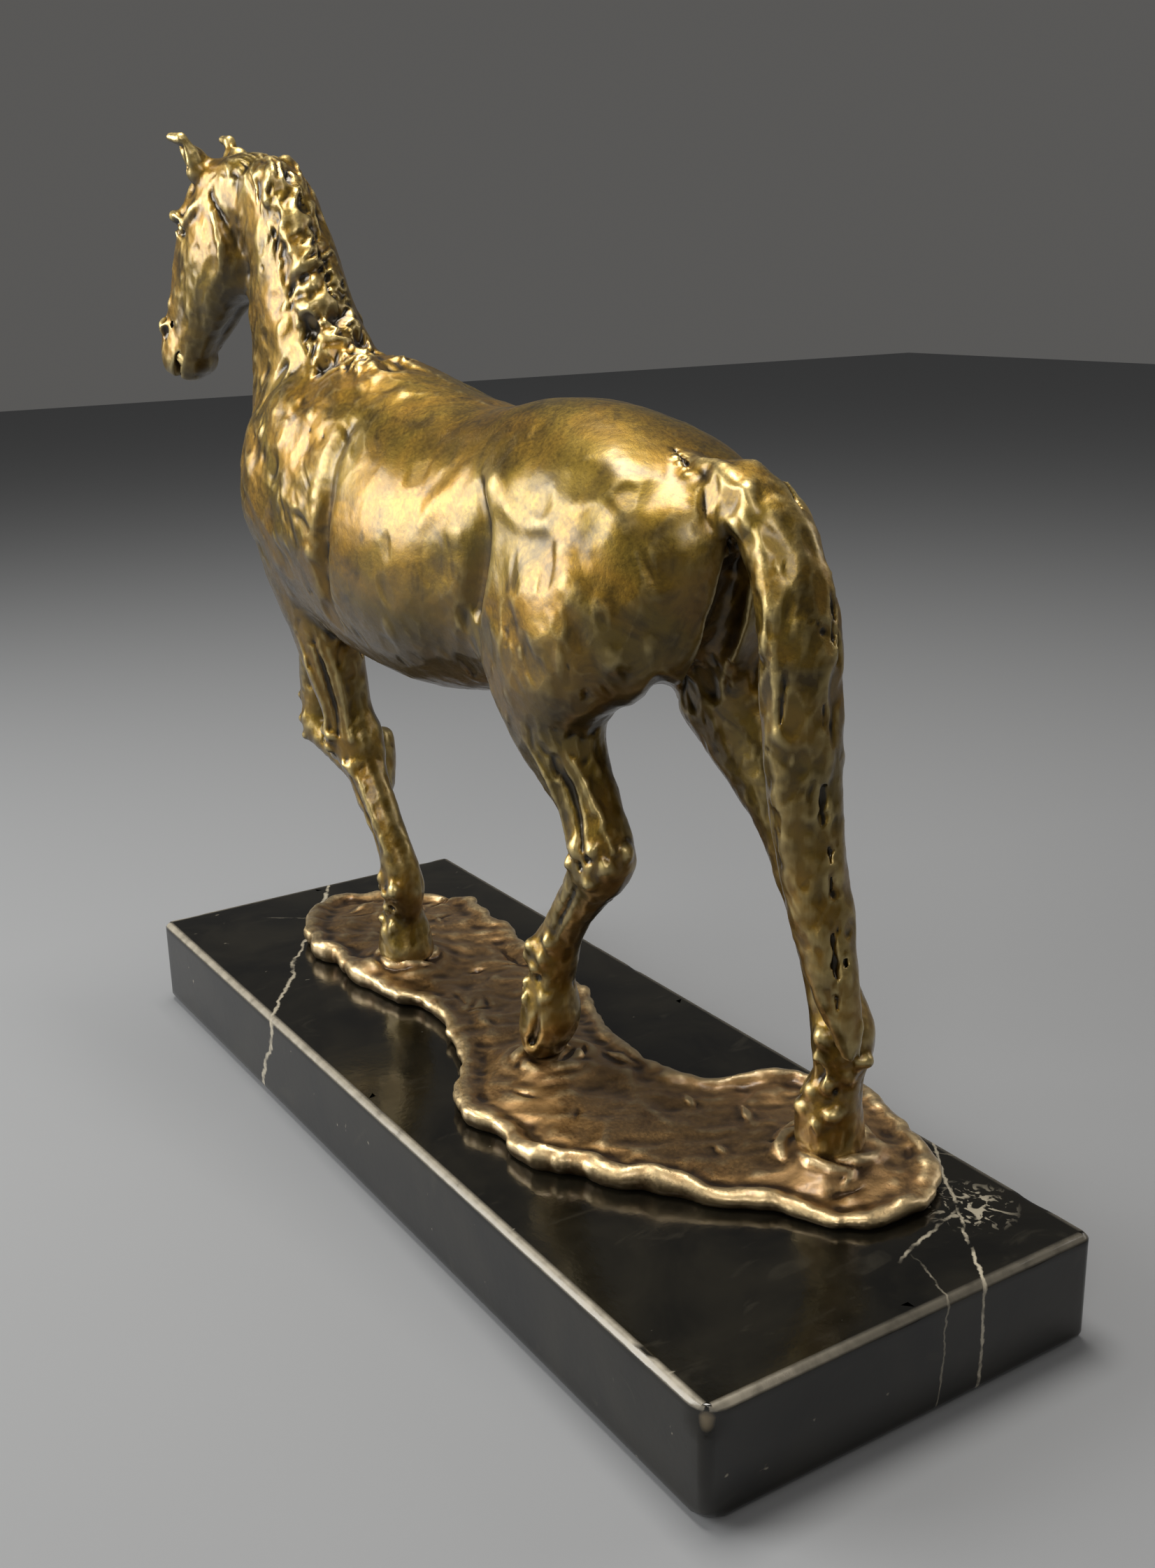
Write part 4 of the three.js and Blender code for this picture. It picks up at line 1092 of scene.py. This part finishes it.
def marble_slab():
    """A sawn slab with rounded corners and chamfered edges, chipped at the left rear corner."""
    low, high = (np.array(v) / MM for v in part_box("marble_base"))
    half, radius, chamfer = (high - low)[:2] / 2, 3.0, 1.5
    profile = [  # (inset, height)
        (8, low[2]), (chamfer, low[2]), (0.25 * chamfer, low[2] + 0.4 * chamfer), (0, low[2] + chamfer),
        (0, low[2] + 3), (0, low[2] + 10), (0, low[2] + 20), (0, high[2] - 7), (0, high[2] - 5),
        (0, high[2] - 3), (0, high[2] - chamfer), (0.28 * chamfer, high[2] - 0.62 * chamfer),
        (0.62 * chamfer, high[2] - 0.28 * chamfer), (chamfer, high[2]), (chamfer + 1.2, high[2]),
        (5, high[2]),
    ]
    corner = [math.radians(a) for a in range(0, 91, 9)]
    spans = []
    for quarter, (sx, sy) in enumerate(((1, 1), (-1, 1), (-1, -1), (1, -1))):
        for angle in corner:
            turn = angle + quarter * math.pi / 2
            spans.append((sx * (half[0] - radius), sy * (half[1] - radius), math.cos(turn), math.sin(turn)))
    outline = []
    for a, b in zip(spans, spans[1:] + spans[:1]):
        outline.append(a)
        gap = math.hypot(b[0] - a[0], b[1] - a[1])
        for k in range(1, int(gap // 2.5)):
            t = k / int(gap // 2.5)
            outline.append((a[0] + t * (b[0] - a[0]), a[1] + t * (b[1] - a[1]), a[2], a[3]))
    rings = []
    for inset, height in profile:
        r = max(radius - inset, 0.4)
        shrink = inset - (radius - r)
        rings.append([((cx - math.copysign(shrink, cx)) + r * nx, (cy - math.copysign(shrink, cy)) + r * ny,
                       height) for cx, cy, nx, ny in outline])
    points = np.array(rings, float).reshape(-1, 3)
    n = len(outline)
    quads = np.array([(i * n + j, i * n + (j + 1) % n, (i + 1) * n + (j + 1) % n, (i + 1) * n + j)
                      for i in range(len(rings) - 1) for j in range(n)])
    nicked = step_up(points[:, 2], high[2] - 3.2, high[2] - 0.8) * (points[:, 2] < high[2] + 1)
    nicked *= step_up(-(half - np.abs(points[:, :2])).min(1), -2.2, -0.8)
    outward = points * (1, 1, 0) / np.array([half[0], half[1], 1])
    outward = np.where(np.abs(outward) > 0.9, np.sign(outward), 0)
    nick = np.clip(noise(points, 5) - 0.45, 0, 1) * 1.2 + np.clip(noise(points, 2.2) - 0.4, 0, 1) * 0.5
    points -= (nicked * nick)[:, None] * (outward * 0.6 + (0, 0, 0.6))
    for centre, size, depth in (((-half[0], half[1], high[2] - 3.4), (4.5, 4.5, 3.2), 1.6),
                                ((-half[0], half[1], low[2] + 0.4), (4, 4, 2.0), 1.4),
                                ((-half[0] + 18, -half[1], high[2]), (5, 3, 2.0), 0.8)):
        close = np.exp(-(((points - centre) / size) ** 2).sum(1) ** 2)
        points -= (close * depth)[:, None] * unit(np.sign(centre) * (1, 1, 0))
    chip = np.exp(-(((points - (-half[0], half[1], high[2] - 3.4)) / (3.6, 3.6, 3.0)) ** 2).sum(1) ** 2)
    ground_edge = ((points[:, 2] > high[2] - chamfer + 0.05) & (points[:, 2] < high[2] + 1)
                   & ((half - np.abs(points[:, :2])).min(1) < chamfer + 0.1))
    # chip and ground chamfer are bare stone; the third channel, the share towards the horse's left side,
    # weights a painted highlight on the chamfers
    bare = np.stack([chip, ground_edge.astype(float), np.clip(points[:, 1] / half[1], 0, 1)], 1)
    made = mesh_object("marble_slab", points, [quads], None, {"bare": bare})
    shell = bmesh.new()
    shell.from_mesh(made.data)
    shell.verts.ensure_lookup_table()
    last = (len(rings) - 1) * n
    shell.faces.new([shell.verts[i] for i in range(n)][::-1])
    shell.faces.new([shell.verts[last + i] for i in range(n)])
    shell.to_mesh(made.data)
    shell.free()
    return made


slab = marble_slab()


# ---------------------------------------------------------------- materials

class Paint:
    """A material and short ways to wire its nodes."""

    def __init__(self, name):
        self.made = bpy.data.materials.new(name)
        self.made.use_nodes = True
        self.new, self.link = self.made.node_tree.nodes.new, self.made.node_tree.links.new
        self.inputs = self.made.node_tree.nodes["Principled BSDF"].inputs

    def noise(self, scale, detail=4, stretch=None, distortion=0.0):
        """Noise in the object's own metres; scale is in features per metre."""
        where = self.new("ShaderNodeTexCoord").outputs["Object"]
        if stretch:
            mapping = self.new("ShaderNodeMapping")
            mapping.inputs["Scale"].default_value = stretch
            self.link(where, mapping.inputs["Vector"])
            where = mapping.outputs["Vector"]
        node = self.new("ShaderNodeTexNoise")
        for key, value in (("Scale", scale), ("Detail", detail), ("Roughness", 0.55),
                           ("Distortion", distortion)):
            node.inputs[key].default_value = value
        self.link(where, node.inputs["Vector"])
        return node.outputs["Fac"]

    def math(self, operation, a, b=None, c=None):
        node = self.new("ShaderNodeMath")
        node.operation = operation
        for slot, value in zip(node.inputs, (a, b, c)):
            if isinstance(value, (int, float)):
                slot.default_value = value
            elif value is not None:
                self.link(value, slot)
        return node.outputs[0]

    def times(self, a, b):
        return self.math("MULTIPLY", a, b)

    def mix(self, factor, a, b):
        node = self.new("ShaderNodeMix")
        node.data_type = "RGBA"
        self.link(factor, node.inputs[0])
        for slot, value in ((node.inputs[6], a), (node.inputs[7], b)):
            if isinstance(value, tuple):
                slot.default_value = (*value, 1)
            else:
                self.link(value, slot)
        return node.outputs[2]

    def span(self, source, low, high, to_low=0.0, to_high=1.0):
        node = self.new("ShaderNodeMapRange")
        self.link(source, node.inputs[0])
        for slot, value in zip(node.inputs[1:5], (low, high, to_low, to_high)):
            slot.default_value = value
        return node.outputs[0]

    def parts(self, vector):
        """The three numbers of a vector."""
        node = self.new("ShaderNodeSeparateXYZ")
        self.link(vector, node.inputs[0])
        return node.outputs

    def attribute(self, name):
        node = self.new("ShaderNodeAttribute")
        node.attribute_name = name
        return self.parts(node.outputs["Vector"])

    def bump(self, height, strength, distance):
        node = self.new("ShaderNodeBump")
        node.inputs["Strength"].default_value = strength
        node.inputs["Distance"].default_value = distance
        self.link(height, node.inputs["Height"])
        self.link(node.outputs["Normal"], self.inputs["Normal"])


def bronze(name, recess_patina_and_underside_shade, dark, body, warm, worn):
    """Patinated bronze: dark in the hollows, rubbed bright where it stands out, with painted shade on faces
    that look down.
    """
    paint = Paint(name)
    fine, mid, wide = paint.attribute("relief")
    grain = paint.noise(900, 5)
    blotch = paint.noise(38, 4, distortion=0.6)
    patch = paint.noise(120, 5)

    stain = paint.noise(62, 6, distortion=1.4)
    base = paint.mix(paint.span(blotch, 0.40, 0.62), body, warm)
    base = paint.mix(paint.span(stain, 0.52, 0.68, 0.0, 0.8), base, dark)
    base = paint.mix(paint.span(patch, 0.45, 0.72, 0.0, 0.5), base, dark)
    raised = paint.math("ADD", paint.times(fine, 1.5), mid)
    raised = paint.math("ADD", raised, paint.times(wide, 0.06))
    shift = paint.math("MULTIPLY_ADD", patch, 0.24, c=-0.12)
    raised = paint.math("ADD", raised, shift)
    base = paint.mix(paint.span(raised, 0.08, 0.50, 0.0, 0.85), base, worn)
    base = paint.mix(paint.span(raised, -0.04, -0.42, 0.0, 0.95), base, recess_patina_and_underside_shade)
    # painted shade: faces that look down are darkened towards the hollow patina colour
    facing = paint.parts(paint.new("ShaderNodeNewGeometry").outputs["Normal"])
    below = paint.span(facing["Z"], 0.25, -0.75, 0.0, 0.85)
    # painted shade on the undersides, in the same colour as the patina in the hollows
    base = paint.mix(below, base, recess_patina_and_underside_shade)
    paint.link(base, paint.inputs["Base Color"])
    paint.inputs["Metallic"].default_value = 1.0
    rough = paint.span(grain, 0.3, 0.7, 0.36, 0.54)
    paint.link(rough, paint.inputs["Roughness"])
    paint.inputs["Coat Weight"].default_value = 0.8
    paint.inputs["Coat Roughness"].default_value = 0.25
    height = paint.math("MULTIPLY_ADD", patch, 0.6, c=0.0)
    height = paint.math("ADD", height, paint.times(grain, 0.4))
    paint.bump(height, 0.35, 0.0006)
    return paint.made


HORSE_BRONZE = bronze("horse_bronze", (0.014, 0.009, 0.002), (0.070, 0.044, 0.009), (0.225, 0.148, 0.019),
                      (0.32, 0.175, 0.018), (0.68, 0.53, 0.22))
GROUND_BRONZE = bronze("ground_bronze", (0.070, 0.036, 0.013), (0.28, 0.155, 0.060), (0.46, 0.28, 0.115),
                       (0.50, 0.30, 0.115), (0.80, 0.62, 0.34))


def marble(name):
    """Black marble: clouded, with a few white sheets of calcite, ground dull along its chamfers, and a
    painted highlight that makes the chamfers paler towards the horse's left side.
    """
    paint = Paint(name)
    where = paint.new("ShaderNodeTexCoord").outputs["Object"]
    scaled = paint.new("ShaderNodeVectorMath")
    scaled.operation = "SCALE"
    scaled.inputs["Scale"].default_value = 1 / MM
    paint.link(where, scaled.inputs[0])
    place = scaled.outputs[0]
    wobble = paint.noise(70, 3)
    shiver = paint.noise(420, 3)

    def along(direction):
        node = paint.new("ShaderNodeVectorMath")
        node.operation = "DOT_PRODUCT"
        paint.link(place, node.inputs[0])
        node.inputs[1].default_value = direction
        return node.outputs["Value"]

    def sheet(normal, offset, width, run, start, end, strength, wave=7.0):
        """A thin vein where a plane of calcite cuts the stone, between start and end along run."""
        across = paint.math("MULTIPLY_ADD", wobble, wave, c=-wave / 2 - offset)
        across = paint.math("ADD", along(tuple(unit(normal))), across)
        across = paint.math("ADD", across, paint.math("MULTIPLY_ADD", shiver, 1.6, c=-0.8))
        across = paint.math("ABSOLUTE", across)
        line = paint.span(across, width, width * 0.35)
        far = along(tuple(unit(run)))
        ends = paint.times(paint.span(far, start, start + 4),
                         paint.span(far, end, end - 4))
        line = paint.times(line, ends)
        broken = paint.span(paint.noise(160, 4), 0.34, 0.52)
        return paint.times(paint.times(line, broken), strength)

    veins = [
        sheet((0.54, 0.815, 0.216), 88.6, 0.75, (-0.83, 0.55, -0.1), -160, 200, 0.9),
        sheet((0.55, 0.83, 0.0), -109.4, 0.55, (-0.83, 0.55, -0.2), 48, 200, 0.9, 4.0),
        sheet((0.30, 0.95, 0.1), -56.5, 0.4, (1, -0.2, 0), -175, -140, 0.35, 4.0),
        sheet((0.96, 0.28, 0.0), -144, 0.7, (0.2, -1, 0), -18, 12, 0.7, 5.0),
        sheet((0.2, 0.95, 0.25), 47, 0.45, (1, -0.1, 0), 92, 134, 0.4),
        sheet((0.75, -0.65, 0.1), 96, 0.4, (0.6, 0.75, -0.1), 20, 110, 0.25),
        sheet((0.5, -0.85, 0.1), -8, 0.35, (0.85, 0.5, -0.1), -160, -60, 0.25),
        sheet((-0.7, -0.7, 0.15), 40, 0.4, (0.7, -0.7, 0.1), 60, 150, 0.3),
    ]
    total = veins[0]
    for vein in veins[1:]:
        total = paint.math("MAXIMUM", total, vein)
    # a creamy knot of fossil shell near the rear right corner
    knot = paint.new("ShaderNodeVectorMath")
    knot.operation = "DISTANCE"
    paint.link(place, knot.inputs[0])
    knot.inputs[1].default_value = (-139, -43, 30)
    near = paint.span(knot.outputs["Value"], 13, 5)
    shell = paint.span(paint.noise(210, 2, distortion=2.0), 0.55, 0.62)
    shell = paint.times(paint.times(near, shell), 0.75)
    total = paint.math("MAXIMUM", total, shell)
    flecks = paint.span(paint.noise(330, 2, stretch=(1, 0.55, 0.8)), 0.745, 0.80)
    total = paint.math("MAXIMUM", total, paint.times(flecks, 0.5))

    cloud = paint.noise(26, 6, distortion=1.2)
    haze = paint.noise(60, 5, stretch=(1, 0.4, 1), distortion=2.5)
    black = paint.mix(paint.span(cloud, 0.35, 0.75), (0.0035, 0.0032, 0.0022),
                      (0.016, 0.014, 0.009))
    black = paint.mix(paint.span(haze, 0.62, 0.80, 0.0, 0.5), black, (0.045, 0.040, 0.028))
    color = paint.mix(total, black, (0.52, 0.47, 0.36))
    chip, dull, left = paint.attribute("bare")
    grit = paint.noise(240, 4)
    # painted highlight: the ground chamfers are made paler towards the horse's left side, where the light
    # falls
    edge = paint.times(dull, paint.span(left, 0.2, 1.0, 0.30, 0.85))
    edge = paint.times(edge, paint.span(grit, 0.25, 0.6, 0.55, 1.0))
    color = paint.mix(edge, color, (0.42, 0.38, 0.30))
    color = paint.mix(paint.span(chip, 0.25, 0.6), color, (0.20, 0.16, 0.10))
    paint.link(color, paint.inputs["Base Color"])
    rough = paint.span(haze, 0.3, 0.7, 0.10, 0.20)
    rough = paint.math("MAXIMUM", rough, paint.times(edge, 0.5))
    rough = paint.math("MAXIMUM", rough, paint.times(chip, 0.7))
    paint.link(rough, paint.inputs["Roughness"])
    paint.inputs["IOR"].default_value = 1.55
    paint.bump(paint.noise(500, 3), 0.12, 0.0003)
    return paint.made


def baize(name):
    """Dark green felt."""
    paint = Paint(name)
    fuzz = paint.noise(2600, 4)
    paint.link(paint.mix(fuzz, (0.008, 0.035, 0.018), (0.02, 0.075, 0.035)), paint.inputs["Base Color"])
    paint.inputs["Roughness"].default_value = 0.95
    paint.inputs["Sheen Weight"].default_value = 0.4
    paint.bump(fuzz, 0.5, 0.0004)
    return paint.made


def steel(name, tone, rough):
    """Zinc-plated steel, brushed along its length."""
    paint = Paint(name)
    brushed = paint.noise(900, 4, stretch=(1, 1, 0.08))
    paint.link(paint.mix(brushed, tuple(0.75 * t for t in tone), tone), paint.inputs["Base Color"])
    paint.inputs["Metallic"].default_value = 1.0
    paint.link(paint.span(brushed, 0.2, 0.8, rough - 0.08, rough + 0.1), paint.inputs["Roughness"])
    paint.bump(brushed, 0.15, 0.0002)
    return paint.made


def dress(piece, finish, body="root", stands_for=()):
    piece.data.materials.clear()
    piece.data.materials.append(finish)
    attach(piece, body)
    if stands_for:
        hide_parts(*stands_for)
    return piece


for piece, node in zip(horse, CASTINGS):
    piece.name = node.replace("_casting", "") + "_bronze"
    dress(piece, HORSE_BRONZE, stands_for=[node])
dress(ground, GROUND_BRONZE, stands_for=["ground_casting"])
dress(slab, marble("black_marble"), stands_for=["marble_base"])
PLATED = steel("zinc_steel", (0.58, 0.58, 0.56), 0.34)
FIXINGS = {"pad": baize("green_baize"), "dowel": steel("bronze_rod", (0.50, 0.36, 0.16), 0.4),
           "stud": PLATED, "washer": PLATED, "nut": PLATED}
for node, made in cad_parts.items():
    finish = FIXINGS.get(node.split("_")[-1])
    if finish:
        made.data.materials.clear()
        made.data.materials.append(finish)


# ---------------------------------------------------------------- camera, light, floor

def look(name, place, aim, size, power, color=(1, 1, 1)):
    light = bpy.data.lights.new(name, "AREA")
    light.shape = "RECTANGLE"
    light.size, light.size_y = size
    light.energy = power
    light.color = color
    made = bpy.data.objects.new(name, light)
    made.location = place
    made.rotation_euler = (Vector(aim) - Vector(place)).to_track_quat("-Z", "Y").to_euler()
    bpy.context.scene.collection.objects.link(made)
    return made


def photographer():
    """The camera: low behind the horse's left hip, looking forward and a little down."""
    place = Vector((-0.39599, 0.23271, 0.25818))
    ahead = Vector((0.80593, -0.50979, -0.30099)).normalized()
    roll = math.radians(-1.323)
    side = ahead.cross(Vector((0, 0, 1))).normalized()
    top = side.cross(ahead)
    right = side * math.cos(roll) + top * math.sin(roll)
    up = top * math.cos(roll) - side * math.sin(roll)
    data = bpy.data.cameras.new("camera")
    data.lens = 38.155
    data.sensor_width = 36
    data.clip_start = 0.01
    made = bpy.data.objects.new("camera", data)
    made.matrix_world = Matrix((
        (right.x, up.x, -ahead.x, place.x), (right.y, up.y, -ahead.y, place.y),
        (right.z, up.z, -ahead.z, place.z), (0, 0, 0, 1)))
    bpy.context.scene.collection.objects.link(made)
    bpy.context.scene.camera = made


bpy.context.scene.view_settings.view_transform = "Standard"
photographer()
look("window", (0.50, 0.78, 0.46), (0.02, 0, 0.17), (0.60, 0.55), 8.5, (1.0, 0.99, 0.96))
look("top", (0.12, 0.02, 1.05), (0.0, 0, 0.12), (0.50, 0.40), 9.0, (1.0, 0.96, 0.90))
look("camera_side", (-0.75, 0.60, 0.75), (0, 0, 0.15), (0.35, 0.35), 2.4, (1.0, 0.95, 0.88))
look("rim", (-0.30, -0.85, 0.55), (0, 0, 0.15), (0.5, 0.4), 1.0, (1.0, 0.95, 0.90))
world = bpy.data.worlds.new("studio")
bpy.context.scene.world = world
world.use_nodes = True
world.node_tree.nodes["Background"].inputs["Color"].default_value = (0.90, 0.88, 0.85, 1)
world.node_tree.nodes["Background"].inputs["Strength"].default_value = 0.11

floor_mesh = bpy.data.meshes.new("floor")
bm = bmesh.new()
bmesh.ops.create_grid(bm, x_segments=8, y_segments=8, size=3.0)
bm.to_mesh(floor_mesh)
bm.free()
floor = bpy.data.objects.new("floor", floor_mesh)
bpy.context.scene.collection.objects.link(floor)
floor.location.z = CAD_BOX[0][2] - 0.0002
plain = Paint("floor")
plain.inputs["Base Color"].default_value = (0.27, 0.28, 0.295, 1)
plain.inputs["Roughness"].default_value = 0.8
floor.data.materials.append(plain.made)
